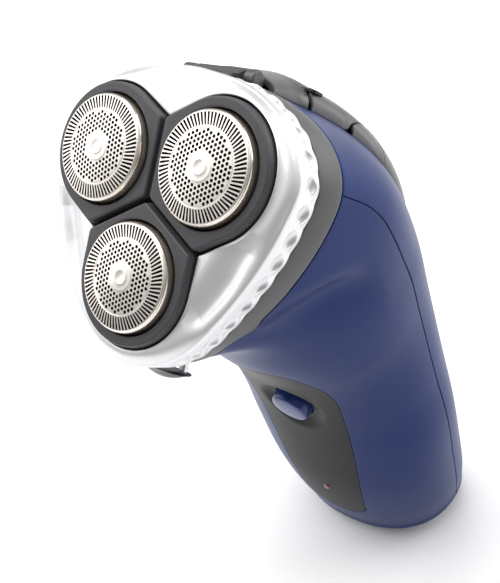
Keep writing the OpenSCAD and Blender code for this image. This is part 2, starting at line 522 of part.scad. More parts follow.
// comb and blade: two toothed plates across the free end of the flap
module teeth(n, p, w, l, t, base) {
  translate([-n*p/2, 0, 0]) cube([n*p, t, base]);
  for (i = [0:n-1]) translate([(i - (n - 1)/2)*p - w/2, 0, base - 0.1]) cube([w, t, l + 0.1]);
}
module trimmer_comb() color("silver") at_comb(2.2) translate([0, 0.08, -3.1]) teeth(24, 1.1, 0.55, 1.2, 0.6, 2.9);
module trimmer_blade() color("gainsboro") at_comb(2.2) translate([0, -0.62, -3.1]) teeth(21, 1.1, 0.5, 1, 0.6, 2.8);
// sliding switch that lets the trimmer spring out
sw = S(1.95, 90);
module sw_at() translate([0, sw[1] + 2.2*out[0], sw[2] + 2.2*out[1]]) rotate([20, 0, 0]) children();
module trimmer_switch() color("dimgray") sw_at() {
  translate([-4, -1, -2]) cube([8, 2, 6]);
  for (i = [0:2]) translate([-3.4, 0.9, -1 + i*1.8]) cube([6.8, 0.8, 0.8]);
}
// sealing cord in the joint between the shells
module sealing_cord() {
  function q(u, s) = let(p = S(u, s > 0 ? 0.2 : 179.8, 3.2)) p;
  color("black") for (s = [-1, 1]) {
    P = [for (i = [0:14]) q(0.6 + i*0.5, s)];
    polyhedron([for (p = P) each [[p[0] - 0.5, p[1] - 0.5, p[2]], [p[0] + 0.5, p[1] - 0.5, p[2]], [p[0] + 0.5, p[1] + 0.5, p[2]], [p[0] - 0.5, p[1] + 0.5, p[2]]]],
      concat([[0, 1, 2], [0, 2, 3]], [for (i = [0:13]) for (j = [0:3]) each let(a = i*4 + j, b = i*4 + (j + 1) % 4) [[a, a + 4, b], [b, a + 4, b + 4]]],
      [[58, 57, 56], [59, 58, 56]]));
  }
}

shaving_unit_frame();
carrier_left();
carrier_right();
carrier_front();
guard_left();
guard_right();
guard_front();
cutter_left();
cutter_right();
cutter_front();
retaining_frame();
locking_wheel();
hinge_pin();
head_collar();
drive_deck();
release_button();
release_spring();
drive_spindle_left();
drive_spindle_right();
drive_spindle_front();
drive_gear_left();
drive_gear_right();
drive_gear_front();
spindle_seals();
motor_pinion();
motor_shaft();
motor_can();
motor_endbell();
gear_plate();
deck_screws();
front_shell();
rear_shell();
front_panel();
power_button();
button_spring();
tact_switch();
circuit_board();
charge_led();
led_lens();
chassis();
battery_cells();
battery_tabs();
board_screws();
charging_socket();
contact_pins();
shell_screws();
hinge_cover();
trimmer_housing();
trimmer_arm();
trimmer_comb();
trimmer_blade();
trimmer_spring();
trimmer_pin();
trimmer_switch();
sealing_cord();
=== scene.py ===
import bpy, math, json
import numpy as np
import mathutils.geometry as mg
from mathutils import Vector, Matrix


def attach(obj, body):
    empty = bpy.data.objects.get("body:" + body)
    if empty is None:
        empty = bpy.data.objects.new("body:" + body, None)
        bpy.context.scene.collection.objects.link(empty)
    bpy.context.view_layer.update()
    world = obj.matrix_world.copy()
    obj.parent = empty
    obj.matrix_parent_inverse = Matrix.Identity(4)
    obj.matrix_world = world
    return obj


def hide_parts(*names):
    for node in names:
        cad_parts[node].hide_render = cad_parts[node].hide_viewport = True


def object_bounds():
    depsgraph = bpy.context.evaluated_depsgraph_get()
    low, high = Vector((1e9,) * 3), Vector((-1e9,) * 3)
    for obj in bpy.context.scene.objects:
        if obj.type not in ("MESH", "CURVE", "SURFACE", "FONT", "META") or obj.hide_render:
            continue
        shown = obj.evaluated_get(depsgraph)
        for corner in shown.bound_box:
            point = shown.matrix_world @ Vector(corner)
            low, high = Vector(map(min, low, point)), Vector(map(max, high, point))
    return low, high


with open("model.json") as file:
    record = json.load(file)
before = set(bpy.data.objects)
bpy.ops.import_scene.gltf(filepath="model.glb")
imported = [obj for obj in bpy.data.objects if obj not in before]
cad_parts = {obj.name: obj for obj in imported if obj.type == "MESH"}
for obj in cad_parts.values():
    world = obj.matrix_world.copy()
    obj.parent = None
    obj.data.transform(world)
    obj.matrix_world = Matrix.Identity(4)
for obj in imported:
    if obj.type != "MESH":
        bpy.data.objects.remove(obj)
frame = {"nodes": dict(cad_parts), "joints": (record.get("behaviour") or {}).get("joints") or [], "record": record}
CAD_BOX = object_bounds()

# ------------------------------------------------------------------ frame
JT = {j["name"]: j for j in frame["joints"]}
TILT = math.radians(43.0)
CT, ST = math.cos(TILT), math.sin(TILT)
FYC, FZC = -17.265, 146.0             # face centre, mm
HEAD_R = 15.17
ANG = {"left": 150.0, "right": 30.0, "front": 270.0}


def face(x, b, n):
    x, b, n = np.broadcast_arrays(np.asarray(x, float), np.asarray(b, float), np.asarray(n, float))
    return np.stack([x, FYC + b * CT - n * ST, FZC + b * ST + n * CT], -1)


FACE_M = Matrix(((1, 0, 0, 0), (0, CT, -ST, FYC / 1000), (0, ST, CT, FZC / 1000), (0, 0, 0, 1)))

# ------------------------------------------------------------------ handle loft
FY = [-13, -1, 5.6, 11.6, 14.2, 14.6, 14.5, 16, 18.3]
FZ = [-33, -42, -56, -70, -85, -100, -115, -128, -138]
BY = [29, 42, 49.5, 52.3, 53.3, 53.2, 54, 55, 55.6]
BZ = [6.8, -10, -30, -52, -75, -95, -113, -128, -138]
HW = [31.9, 33, 31.4, 29.7, 29.4, 29.8, 28.7, 27.1, 25]
WF = [0.68, 0.66, 0.62, 0.58, 0.55, 0.55, 0.55, 0.55, 0.55]
BASE_F = 0.36


def lerp(a, b, t):
    return a + (b - a) * t


def cr(L, u):
    L = np.asarray(L, float)
    u = np.asarray(u, float)
    n = len(L) - 1
    i = np.clip(np.floor(u), 0, n - 1).astype(int)
    t = u - i
    p1, p2 = L[i], L[i + 1]
    p0 = np.where(i > 0, L[np.maximum(i - 1, 0)], 2 * L[0] - L[1])
    p3 = np.where(i < n - 1, L[np.minimum(i + 2, n)], 2 * L[n] - L[n - 1])
    return p1 + 0.5 * t * (p2 - p0 + t * (2 * p0 - 5 * p1 + 4 * p2 - p3 + t * (3 * (p1 - p2) + p3 - p0)))


def spow(v, p):
    return np.sign(v) * np.abs(v) ** p


def S(u, a, off=0.0):
    u, a, off = np.broadcast_arrays(np.asarray(u, float), np.asarray(a, float), np.asarray(off, float))
    v = np.minimum(u, 8)
    s = np.clip(u - 8, 0, 1)
    fy, fz, by, bz, w = cr(FY, v), cr(FZ, v), cr(BY, v), cr(BZ, v), cr(WF, v)
    L = np.hypot(by - fy, bz - fz)
    dy, dz = (by - fy) / L, (bz - fz) / L
    cy, cz = fy + w * (by - fy), fz + w * (bz - fz)
    q = np.clip(v / 2.5, 0, 1)
    ar = np.radians(a)
    sa, ca = np.sin(ar), np.cos(ar)
    p = np.where(sa > 0, lerp(2, 2.25, q), lerp(1.55, 2.25, q))
    sc = np.where(s <= 0, 1, np.maximum(BASE_F, np.maximum(0, 1 - s ** 2.6) ** (1 / 2.2)))
    o = off * (1 - s)
    x = (cr(HW, v) * sc - o) * spow(ca, 2 / p)
    sv = spow(sa, 2 / p)
    e = np.where(sv > 0, ((1 - w) * L * sc - o) * sv, (w * L * sc - o) * sv)
    zz = np.where(s > 0, cz - (8 - off) * s, cz)
    return np.stack([x, FYC + cy + dy * e, FZC + zz + np.where(s > 0, 0, dz * e)], -1)


def Snorm(u, a):
    h = 0.02
    du = S(u + h, a) - S(u - h, a)
    da = S(u, a + 1.0) - S(u, a - 1.0)
    n = np.cross(da, du)
    l = np.linalg.norm(n, axis=-1, keepdims=True)
    n = n / np.maximum(l, 1e-9)
    c = S(u, a) - S(u, a, 2.0)
    sgn = np.sign((n * c).sum(-1, keepdims=True))
    sgn[sgn == 0] = 1
    return n * sgn


def wrap_dist(u, a, cu, ca, su, sa):
    return ((u - cu) / su) ** 2 + (((a - ca + 180) % 360 - 180) / sa) ** 2


def skin_disp(u, a):
    """outward shift in mm of the handle skin: the grip hollow under the head on both sides"""
    a = np.asarray(a, float) % 360
    # mirrored: measure every angle on the +X side
    am = np.where((a > 90) & (a < 270), (180 - a) % 360, a)
    am = np.where(am < 90, am + 360, am)          # 270..450
    u = np.asarray(u, float)
    # crease line u_c(am)
    xs = np.array([290, 300, 308, 315, 322, 327, 331, 336, 342.0])
    ys = np.array([0.30, 0.40, 0.48, 0.53, 0.60, 0.74, 0.86, 1.02, 1.25])
    uc_ = sum(np.interp(am + t, xs, ys) for t in (-6, -4, -2, 0, 2, 4, 6)) / 7
    fade = np.clip((am - 292) / 14, 0, 1) * np.clip((345 - am) / 16, 0, 1)
    fade = fade * fade * (3 - 2 * fade)
    d = u - uc_
    hollow = -1.9 * np.exp(-np.where(d > 0, (d / 0.52) ** 2, (d / 0.30) ** 2))
    lip = 0.25 * np.exp(-((d + 0.48) / 0.22) ** 2)
    return fade * (hollow + lip)


def skin(u, a, off=0.0):
    P = S(u, a, 0.0)
    return P + Snorm(u, a) * (skin_disp(u, a) - off)[..., None] if np.ndim(off) or True else P


# ------------------------------------------------------------------ mesh helpers
COL = bpy.context.scene.collection


def auto_orient(V, F, ref):
    V = np.asarray(V)
    F = np.asarray(F)
    a, b, c = V[F[:, 0]], V[F[:, 1]], V[F[:, 2]]
    n = np.cross(b - a, c - a)
    cen = (a + b + c) / 3
    return ((n * (cen - ref)).sum() < 0)


def make(name, V, F, mat, body, replaces=(), slot=None, ref=None, smooth=True, sharp=None, closed=False):
    V = np.asarray(V, float)
    F = [list(map(int, f)) for f in F]
    if closed:
        T = np.array([[f[0], f[i], f[i + 1]] for f in F for i in range(1, len(f) - 1)])
        vol = (V[T[:, 0]] * np.cross(V[T[:, 1]], V[T[:, 2]])).sum()
        flip = vol < 0
    else:
        T = np.array([[f[0], f[1], f[2]] for f in F])
        flip = auto_orient(V, T, V.mean(0) if ref is None else np.asarray(ref, float))
    if flip:
        F = [f[::-1] for f in F]
    me = bpy.data.meshes.new(name)
    me.from_pydata((V / 1000).tolist(), [], F)
    me.update()
    me.validate()
    if smooth:
        me.polygons.foreach_set("use_smooth", [True] * len(me.polygons))
        if sharp:
            me.set_sharp_from_angle(angle=math.radians(sharp))
    me.materials.append(mat)
    o = bpy.data.objects.new(name, me)
    COL.objects.link(o)
    if body:
        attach(o, body)
    if replaces:
        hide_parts(*replaces)
    return o


def grid_faces(R, C, cyc_c=False, cyc_r=False, mask=None):
    F = []
    for r in range(R if cyc_r else R - 1):
        r2 = (r + 1) % R
        for c in range(C if cyc_c else C - 1):
            c2 = (c + 1) % C
            if mask is not None and not mask[r, c]:
                continue
            F.append((r * C + c, r * C + c2, r2 * C + c2, r2 * C + c))
    return F


def grid(name, P, mat, body, cyc_c=False, cyc_r=False, mask=None, solid=None, bevel=None, wn=True, **k):
    P = np.asarray(P, float)
    R, C = P.shape[:2]
    F = grid_faces(R, C, cyc_c, cyc_r, mask)
    V = P.reshape(-1, 3)
    if mask is not None:
        used = np.unique(np.array(F).ravel())
        idx = -np.ones(len(V), int)
        idx[used] = np.arange(len(used))
        V = V[used]
        F = [[int(idx[i]) for i in f] for f in F]
    o = make(name, V, F, mat, body, closed=(cyc_c and cyc_r), **k)
    if solid:
        m = o.modifiers.new("thick", "SOLIDIFY")
        m.thickness = solid / 1000
        m.offset = -1
        m.use_rim = True
        m.use_even_offset = False
    if bevel:
        add_bevel(o, bevel)
    if wn and (solid or bevel):
        w = o.modifiers.new("wn", "WEIGHTED_NORMAL")
        w.keep_sharp = True
        w.weight = 60
    return o


def add_bevel(o, width, seg=3, ang=38):
    b = o.modifiers.new("bevel", "BEVEL")
    b.width = width / 1000
    b.segments = seg
    b.limit_method = "ANGLE"
    b.angle_limit = math.radians(ang)
    b.use_clamp_overlap = True
    b.loop_slide = False
    return b


def lathe(name, prof, mat, body, M=None, seg=128, closed=True, **k):
    """prof: list of (r, h) going round; turned about +Z of matrix M (metres)"""
    prof = np.asarray(prof, float)
    a = np.arange(seg) * 2 * np.pi / seg
    P = np.stack([prof[:, None, 0] * np.cos(a), prof[:, None, 0] * np.sin(a), np.repeat(prof[:, 1:2], seg, 1)], -1)
    V, F = P.reshape(-1, 3), grid_faces(len(prof), seg, True, False)
    V, F = list(map(tuple, V)), list(F)
    # cap the ends that touch the axis
    for row in (0, len(prof) - 1):
        if prof[row, 0] > 1e-6:
            continue
        base = row * seg
        V2 = (0, 0, prof[row, 1])
        V.append(V2)
        ci = len(V) - 1
        other = 1 if row == 0 else len(prof) - 2
        F = [f for f in F if not (base in f and (base + 1) in f) and not all(base <= i < base + seg for i in f)]
        F = [f for f in F if not any(base <= i < base + seg for i in f)]
        for c in range(seg):
            c2 = (c + 1) % seg
            i, j = other * seg + c, other * seg + c2
            F.append((ci, i, j) if row == 0 else (ci, j, i))
    if closed and prof[0, 0] > 1e-6 and prof[-1, 0] > 1e-6:
        n = len(prof) - 1
        for c in range(seg):
            c2 = (c + 1) % seg
            F.append((n * seg + c, n * seg + c2, c2, c))
    V = np.array(V, float)
    used = np.unique(np.array([i for f in F for i in f]))
    idx = -np.ones(len(V), int)
    idx[used] = np.arange(len(used))
    V = V[used]
    F = [[int(idx[i]) for i in f] for f in F]
    if M is not None:
        A = np.array(M, float)
        V = V @ A[:3, :3].T + A[:3, 3] * 1000
    return make(name, V, F, mat, body, closed=True, **k)


def fillet(pts, r, seg=4):
    """round the corners of an open list of (x, y) points"""
    pts = [np.array(p, float) for p in pts]
    out = [pts[0]]
    for i in range(1, len(pts) - 1):
        p, a, b = pts[i], pts[i - 1], pts[i + 1]
        da, db = a - p, b - p
        la, lb = np.linalg.norm(da), np.linalg.norm(db)
        k = min(r, la * 0.45, lb * 0.45)
        s, e = p + da / la * k, p + db / lb * k
        for j in range(seg + 1):
            t = j / seg
            out.append((1 - t) ** 2 * s + 2 * t * (1 - t) * p + t * t * e)
    out.append(pts[-1])
    return [tuple(x) for x in out]


def box_verts(lo, hi, M=None, n=(1, 1, 1)):
    V = np.array([[x, y, z] for z in (lo[2], hi[2]) for y in (lo[1], hi[1]) for x in (lo[0], hi[0])], float)
    F = [(0, 2, 3, 1), (4, 5, 7, 6), (0, 1, 5, 4), (2, 6, 7, 3), (0, 4, 6, 2), (1, 3, 7, 5)]
    if M is not None:
        A = np.array(M, float)
        V = V @ A[:3, :3].T + A[:3, 3] * 1000
    return V, F


def join_vf(parts):
    V, F, n = [], [], 0
    for v, f in parts:
        V.append(v)
        F += [[i + n for i in q] for q in f]
        n += len(v)
    return np.concatenate(V), F


def prism(pts, z0, z1, M=None):
    """closed prism of a 2D outline"""
    n = len(pts)
    V = np.array([[x, y, z0] for x, y in pts] + [[x, y, z1] for x, y in pts], float)
    F = [list(range(n))[::-1], list(range(n, 2 * n))] + [[i, (i + 1) % n, n + (i + 1) % n, n + i] for i in range(n)]
    if M is not None:
        A = np.array(M, float)
        V = V @ A[:3, :3].T + A[:3, 3] * 1000
    return V, F


# ------------------------------------------------------------------ materials
def material(name, base, metallic=0.0, rough=0.4, var=0.04, var_scale=60.0, rough_var=0.06, grain=900.0, bump=0.05,
             coat=0.0, coat_rough=0.1, aniso=0.0, spec=0.5, stretch=(1, 1, 1), trans=0.0, edge=0.0, emit=None, sheen=0.0, bump_dist=0.00005):
    m = bpy.data.materials.new(name)
    m.use_nodes = True
    nt = m.node_tree
    nt.nodes.clear()
    N, Lk = nt.nodes.new, nt.links.new
    out = N("ShaderNodeOutputMaterial")
    b = N("ShaderNodeBsdfPrincipled")
    Lk(b.outputs[0], out.inputs[0])
    tc = N("ShaderNodeTexCoord")
    mp = N("ShaderNodeMapping")
    mp.inputs["Scale"].default_value = stretch
    Lk(tc.outputs["Object"], mp.inputs[0])
    n1 = N("ShaderNodeTexNoise")
    n1.inputs["Scale"].default_value = var_scale
    n1.inputs["Detail"].default_value = 4
    Lk(tc.outputs["Object"], n1.inputs["Vector"])
    mix = N("ShaderNodeMix")
    mix.data_type = "RGBA"
    lo = tuple(max(0, c * (1 - var)) for c in base) + (1,)
    hi = tuple(min(1, c * (1 + var)) for c in base) + (1,)
    mix.inputs[6].default_value = lo
    mix.inputs[7].default_value = hi
    Lk(n1.outputs["Fac"], mix.inputs[0])
    col = mix.outputs[2]
    if edge > 0:
        geo = N("ShaderNodeNewGeometry")
        rmp = N("ShaderNodeMapRange")
        rmp.inputs[1].default_value = 0.52
        rmp.inputs[2].default_value = 0.62
        Lk(geo.outputs["Pointiness"], rmp.inputs[0])
        m2 = N("ShaderNodeMix")
        m2.data_type = "RGBA"
        m2.inputs[7].default_value = tuple(min(1, c + edge) for c in base) + (1,)
        Lk(rmp.outputs[0], m2.inputs[0])
        Lk(col, m2.inputs[6])
        col = m2.outputs[2]
    Lk(col, b.inputs["Base Color"])
    b.inputs["Metallic"].default_value = metallic
    n2 = N("ShaderNodeTexNoise")
    n2.inputs["Scale"].default_value = grain
    n2.inputs["Detail"].default_value = 3
    Lk(mp.outputs[0], n2.inputs["Vector"])
    mr = N("ShaderNodeMapRange")
    mr.inputs[1].default_value = 0.3
    mr.inputs[2].default_value = 0.7
    mr.inputs[3].default_value = max(0.02, rough - rough_var)
    mr.inputs[4].default_value = min(1, rough + rough_var)
    Lk(n2.outputs["Fac"], mr.inputs[0])
    Lk(mr.outputs[0], b.inputs["Roughness"])
    if bump > 0:
        bp = N("ShaderNodeBump")
        bp.inputs["Strength"].default_value = bump
        bp.inputs["Distance"].default_value = bump_dist
        Lk(n2.outputs["Fac"], bp.inputs["Height"])
        Lk(bp.outputs[0], b.inputs["Normal"])
    b.inputs["Coat Weight"].default_value = coat
    b.inputs["Coat Roughness"].default_value = coat_rough
    b.inputs["Anisotropic"].default_value = aniso
    b.inputs["Specular IOR Level"].default_value = spec
    if trans:
        b.inputs["Transmission Weight"].default_value = trans
    if emit:
        b.inputs["Emission Color"].default_value = tuple(emit[:3]) + (1,)
        b.inputs["Emission Strength"].default_value = emit[3]
    return m


M_SILVER = material("satin_silver", (0.76, 0.765, 0.775), 0.74, 0.40, var=0.012, var_scale=120, rough_var=0.02, grain=2500, bump=0.008)
M_CHAR = material("charcoal_surround", (0.055, 0.055, 0.060), 0.0, 0.42, var=0.10, var_scale=300, rough_var=0.05, grain=5000, bump=0.10, spec=0.3)
M_GUARD = material("guard_steel", (0.86, 0.81, 0.755), 1.0, 0.32, var=0.03, var_scale=200, rough_var=0.05, grain=3000, bump=0.06)
M_SKIRT = material("guard_skirt_steel", (0.76, 0.68, 0.585), 1.0, 0.2, var=0.05, var_scale=90, rough_var=0.04, grain=2000, bump=0.03, stretch=(1, 1, 6))
M_CUT = material("cutter_steel", (0.014, 0.013, 0.012), 0.2, 0.6, var=0.08, var_scale=200, rough_var=0.08, grain=2500, bump=0.1)
M_INNER = material("inner_grey", (0.10, 0.105, 0.11), 0.0, 0.5, var=0.06, var_scale=100, grain=3000, bump=0.2)
M_WHEEL = material("wheel_grey", (0.16, 0.165, 0.18), 0.0, 0.42, var=0.06, var_scale=100, grain=3000, bump=0.2)
M_PIN = material("pin_steel", (0.66, 0.67, 0.69), 1.0, 0.22, var=0.04, var_scale=150, grain=2500, bump=0.05, stretch=(0.2, 1, 1))
M_COLLAR = material("collar_grey", (0.10, 0.10, 0.104), 0.0, 0.44, var=0.05, var_scale=80, rough_var=0.05, grain=4200, bump=0.18, spec=0.3)
M_BLACK = material("black_plastic", (0.016, 0.016, 0.018), 0.0, 0.32, var=0.08, var_scale=100, grain=3500, bump=0.15)
M_GEAR = material("gear_white", (0.80, 0.79, 0.74), 0.0, 0.4, var=0.03, var_scale=100, grain=2500, bump=0.1)
M_BRASS = material("pinion_brass", (0.72, 0.54, 0.25), 1.0, 0.25, var=0.05, var_scale=120, grain=2500, bump=0.05)
M_RUBBER = material("seal_rubber", (0.02, 0.02, 0.02), 0.0, 0.7, var=0.1, var_scale=200, grain=2500, bump=0.2)
M_MOTOR = material("motor_steel", (0.60, 0.61, 0.63), 1.0, 0.28, var=0.04, var_scale=100, grain=2500, bump=0.05)
M_BLUE = material("body_blue", (0.011, 0.026, 0.118), 0.25, 0.36, var=0.05, var_scale=45, rough_var=0.04, grain=6000, bump=0.05, coat=0.0, coat_rough=0.2, spec=0.16)
M_BLUE_R = material("body_blue_rear", (0.012, 0.028, 0.124), 0.25, 0.37, var=0.05, var_scale=40, rough_var=0.04, grain=6000, bump=0.05, coat=0.0, coat_rough=0.2, spec=0.16)
M_PANEL = material("panel_dark", (0.017, 0.0165, 0.018), 0.0, 0.42, var=0.07, var_scale=150, rough_var=0.05, grain=5200, bump=0.18, spec=0.16)
M_BUTTON = material("button_blue", (0.016, 0.034, 0.16), 0.1, 0.22, var=0.05, var_scale=80, rough_var=0.03, grain=2500, bump=0.02, coat=0.12, coat_rough=0.1, spec=0.3)
M_BOARD = material("board_green", (0.02, 0.16, 0.06), 0.0, 0.4, var=0.2, var_scale=300, grain=2500, bump=0.1)
M_LED = material("led_red", (0.16, 0.006, 0.012), 0.0, 0.12, var=0.1, var_scale=300, rough_var=0.02, grain=2500, bump=0.0, coat=1.0, coat_rough=0.03)
M_CELL = material("cell_green", (0.08, 0.30, 0.14), 0.0, 0.3, var=0.05, var_scale=100, grain=2500, bump=0.03)
M_NICKEL = material("nickel", (0.62, 0.61, 0.58), 1.0, 0.3, var=0.05, var_scale=100, grain=2500, bump=0.05)
M_GOLD = material("contact_gold", (0.80, 0.62, 0.28), 1.0, 0.2, var=0.04, var_scale=200, grain=2500, bump=0.02)
M_TRIM = material("trimmer_grey", (0.11, 0.11, 0.114), 0.0, 0.38, var=0.06, var_scale=70, rough_var=0.06, grain=4200, bump=0.18, spec=0.35)
# collar grey darkened to half for the hinge cover and ears: painted shade for the shaded region behind the head
M_HCOV_PAINTED_SHADE = material("hinge_cover_painted_shade", (0.05, 0.05, 0.053), 0.0, 0.36, var=0.06, var_scale=70, rough_var=0.06, grain=4200, bump=0.2, spec=0.6)

SLOT_MAT = {"satin_silver": M_SILVER, "charcoal_surround": M_CHAR, "guard_steel": M_GUARD, "cutter_steel": M_CUT, "inner_grey": M_INNER,
            "wheel_grey": M_WHEEL, "pin_steel": M_PIN, "collar_grey": M_COLLAR, "black_plastic": M_BLACK, "gear_white": M_GEAR,
            "pinion_brass": M_BRASS, "seal_rubber": M_RUBBER, "motor_steel": M_MOTOR, "body_blue": M_BLUE, "panel_dark": M_PANEL,
            "button_blue": M_BUTTON, "board_green": M_BOARD, "led_red": M_LED, "cell_green": M_CELL, "nickel": M_NICKEL,
            "contact_gold": M_GOLD, "trimmer_grey": M_TRIM}
for sp in frame["record"]["subparts"]:
    o = frame["nodes"][sp["node"]]
    o.data.materials.clear()
    o.data.materials.append(SLOT_MAT[sp["material_slot"]])
    for p in o.data.polygons:
        p.material_index = 0

# ------------------------------------------------------------------ shaving unit frame
SK = [26.1, 26.4, 27.9, 29.7, 31.4, 31.9, 29.4, 27.7, 27.1, 27.8, 29.7, 31.5, 32.3]


def fold(a):
    a = np.asarray(a, float) % 360
    return np.where(a <= 90, a, np.where(a <= 270, 180 - a, a - 360))


def r_skirt(a):
    return cr(SK, (90 - fold(a)) / 15)


def lobe(a, R, L):
    a = np.asarray(a, float)
    d = np.abs((a + 30) % 120 - 60)
    P = np.array([L * math.cos(math.radians(60)), L * math.sin(math.radians(60))])
    pc = math.hypot(P[0] - HEAD_R, P[1])
    ta = math.degrees(math.atan2(P[1], P[0] - HEAD_R)) - math.degrees(math.acos(min(1, R / pc)))
    T = np.array([HEAD_R + R * math.cos(math.radians(ta)), R * math.sin(math.radians(ta))])
    td = math.degrees(math.atan2(T[1], T[0]))
    dr = np.radians(d)
    circ = HEAD_R * np.cos(dr) + np.sqrt(np.maximum(0, R * R - (HEAD_R * np.sin(dr)) ** 2))
    e = P - T
    q0, q1 = np.cos(dr), np.sin(dr)
    lin = (T[0] * e[1] - T[1] * e[0]) / (q0 * e[1] - q1 * e[0])
    return np.where(d <= td, circ, lin)


def smooth_closed(v, k):
    """running mean over a closed list"""
    w = np.ones(2 * k + 1) / (2 * k + 1)
    return np.convolve(np.concatenate([v[-k:], v, v[:k]]), w, "valid")


def pol(a, r, n):
    ar = np.radians(a)
    return face(r * np.cos(ar), r * np.sin(ar), n)


NA = 1080
A = np.arange(NA) * 360 / NA
ri = smooth_closed(lobe(A, 13.15 + 0.42, 15.1 + 0.75), 2)
sk = smooth_closed(r_skirt(A), 6)
fa = fold(A)
vt = np.interp(fa, [-90, -70, -63, -40, -18, 0, 10.5, 21, 30, 60, 90], [29.6, 26.4, 25.3, 23.4, 22.6, 24.9, 27.0, 29.3, 29.7, 26, 22.5])
vt = np.maximum(smooth_closed(vt, 12), ri + 0.7)
fd = np.interp(fa, [-90, -76, -58, 14, 30, 48, 90], [0, 0.0, 1, 1, 0.45, 0.0, 0.0])
fd = smooth_closed(fd, 12) * np.clip((vt - ri) / 3.2, 0.35, 1)
# arc length from the front, for the dimples
rm = sk - 0.15
th = np.radians(A)
px_, py_ = rm * np.cos(th), rm * np.sin(th)
seg_ = np.hypot(np.roll(px_, -1) - px_, np.roll(py_, -1) - py_)
i0 = NA * 3 // 4                         # 270 degrees
s_arc = np.zeros(NA)
acc = 0.0
for k in range(1, NA // 2 + 1):
    acc += seg_[(i0 + k - 1) % NA]
    s_arc[(i0 + k) % NA] = acc
    s_arc[(i0 - k) % NA] = acc
HALF = acc
# first measured dimple centre
ang0 = math.degrees(math.atan2(-26.3, 13.7)) % 360
s0 = s_arc[int(round(ang0 / 360 * NA)) % NA]
PITCH = 4.92
ph = (s_arc - s0 + PITCH / 2) % PITCH - PITCH / 2         # distance to the nearest dimple centre
dmask = np.clip((s_arc - 9.5) / 3, 0, 1) * np.clip((HALF - s_arc - 7.5) / 3, 0, 1)


def frame_profile():
    rows = []
    r_end = sk - 0.75
    for (dr, n) in ((1.1, -4.5), (0.12, -4.45), (0.02, -4.3), (0.0, -3.0), (0.0, -2.05), (0.02, -1.86), (0.09, -1.72), (0.2, -1.65)):
        rows.append((ri + dr, np.full(NA, n)))
    K = 34
    for k in range(1, K + 1):
        w = k / K
        r = lerp(ri + 0.2, r_end, w)
        n = -1.65 - 1.75 * w ** 2.2
        d = r - vt
        wo = np.maximum(r_end - vt, 1.5) * 0.98
        g = np.cos(np.pi / 2 * np.clip(np.where(d < 0, d / 5.2, d / wo), -1, 1)) ** 2
        n = n - fd * 1.35 * g + 0.15 * np.sin(np.pi * w) * np.clip((sk - ri) / 8, 0, 1)
        rows.append((r, n))
    n_end = rows[-1][1]
    for (dr, dn) in ((-0.52, -0.13), (-0.36, -0.35), (-0.26, -0.7), (-0.2, -1.15)):
        rows.append((sk + dr, n_end + dn))
    n1 = rows[-1][1]
    ds = ph / 1.95
    for k in range(1, 33):
        w = k / 32
        n = lerp(n1, -9.35 + 0.0 * ph, w)
        r = sk - 0.2 + 0.12 * w
        # lens dimple
        qq = np.maximum(1 - ds ** 2, 1e-6)
        lens = np.clip(1 - ((n + 6.9) / (1.3 * qq)) ** 2, 0, 1) * (np.abs(ds) < 1)
        r = r - dmask * 0.8 * np.sqrt(lens) * qq
        # bulge of the lower lip, fullest under each dimple
        lip = np.exp(-((n + 8.6) / 0.85) ** 2) * (0.5 + 0.5 * np.cos(2 * np.pi * ph / PITCH)) ** 0.8
        r = r + dmask * (0.62 * lip - 0.3 * np.exp(-((n + 8.8) / 0.7) ** 2))
        rows.append((r, n))
    rl, nl = rows[-1]
    rows.append((rl - 0.12, nl - 0.16))
    rows.append((rl - 0.32, nl - 0.22))
    rows.append((sk - 1.15, nl - 0.2))
    rows.append((sk - 1.5, nl + 0.1))
    rows.append((sk - 1.7, np.full(NA, -7.0)))
    rows.append((sk - 2.1, np.full(NA, -5.6)))
    rows.append((lerp(ri + 1.1, sk - 2.6, 0.75), np.full(NA, -5.25)))
    rows.append((lerp(ri + 1.1, sk - 2.6, 0.4), np.full(NA, -5.0)))
    return rows


rows = frame_profile()
P = np.stack([pol(A, np.asarray(r), np.asarray(n)) for r, n in rows])
grid("shaving_unit_shell", P, M_SILVER, "shaving_unit", cyc_c=True, cyc_r=True, replaces=["shaving_unit_frame"], slot="satin_silver")

# hinge lug: an arm curling down from the skirt to an eye round the pin, and the front catch
eye = [(26.3 + 1.9 * math.cos(t), -13.9 + 1.9 * math.sin(t)) for t in np.linspace(math.radians(-200), math.radians(35), 26)]
arm = [(27.0, -11.4), (26.7, -9.6), (25.6, -8.6), (24.0, -8.3), (24.0, -10.2), (24.4, -12.2)]
outl = eye + arm
Vp = []
for x in (-6.0, 6.0):
    Vp.append(face(np.full(len(outl), x), [p[0] for p in outl], [p[1] for p in outl]))
n_ = len(outl)
V = np.concatenate(Vp)
F = [list(range(n_)), list(range(2 * n_ - 1, n_ - 1, -1))] + [[i, n_ + i, n_ + (i + 1) % n_, (i + 1) % n_] for i in range(n_)]
o = make("hinge_lug", V, F, M_CHAR, "shaving_unit", slot="charcoal_surround", closed=True, sharp=35)
add_bevel(o, 0.35, 3, 50)
V, F = box_verts((-3.9, -29.8, -12.5), (3.9, -28.7, -5.0), FACE_M)
o = make("catch_tab", V, F, M_SILVER, "shaving_unit", slot="satin_silver", closed=True, sharp=35)
add_bevel(o, 0.3, 3)

# ------------------------------------------------------------------ surrounds (carriers)
def head_m(k):
    a = math.radians(ANG[k])
    return FACE_M @ Matrix.Translation((HEAD_R * math.cos(a) / 1000, HEAD_R * math.sin(a) / 1000, 0))


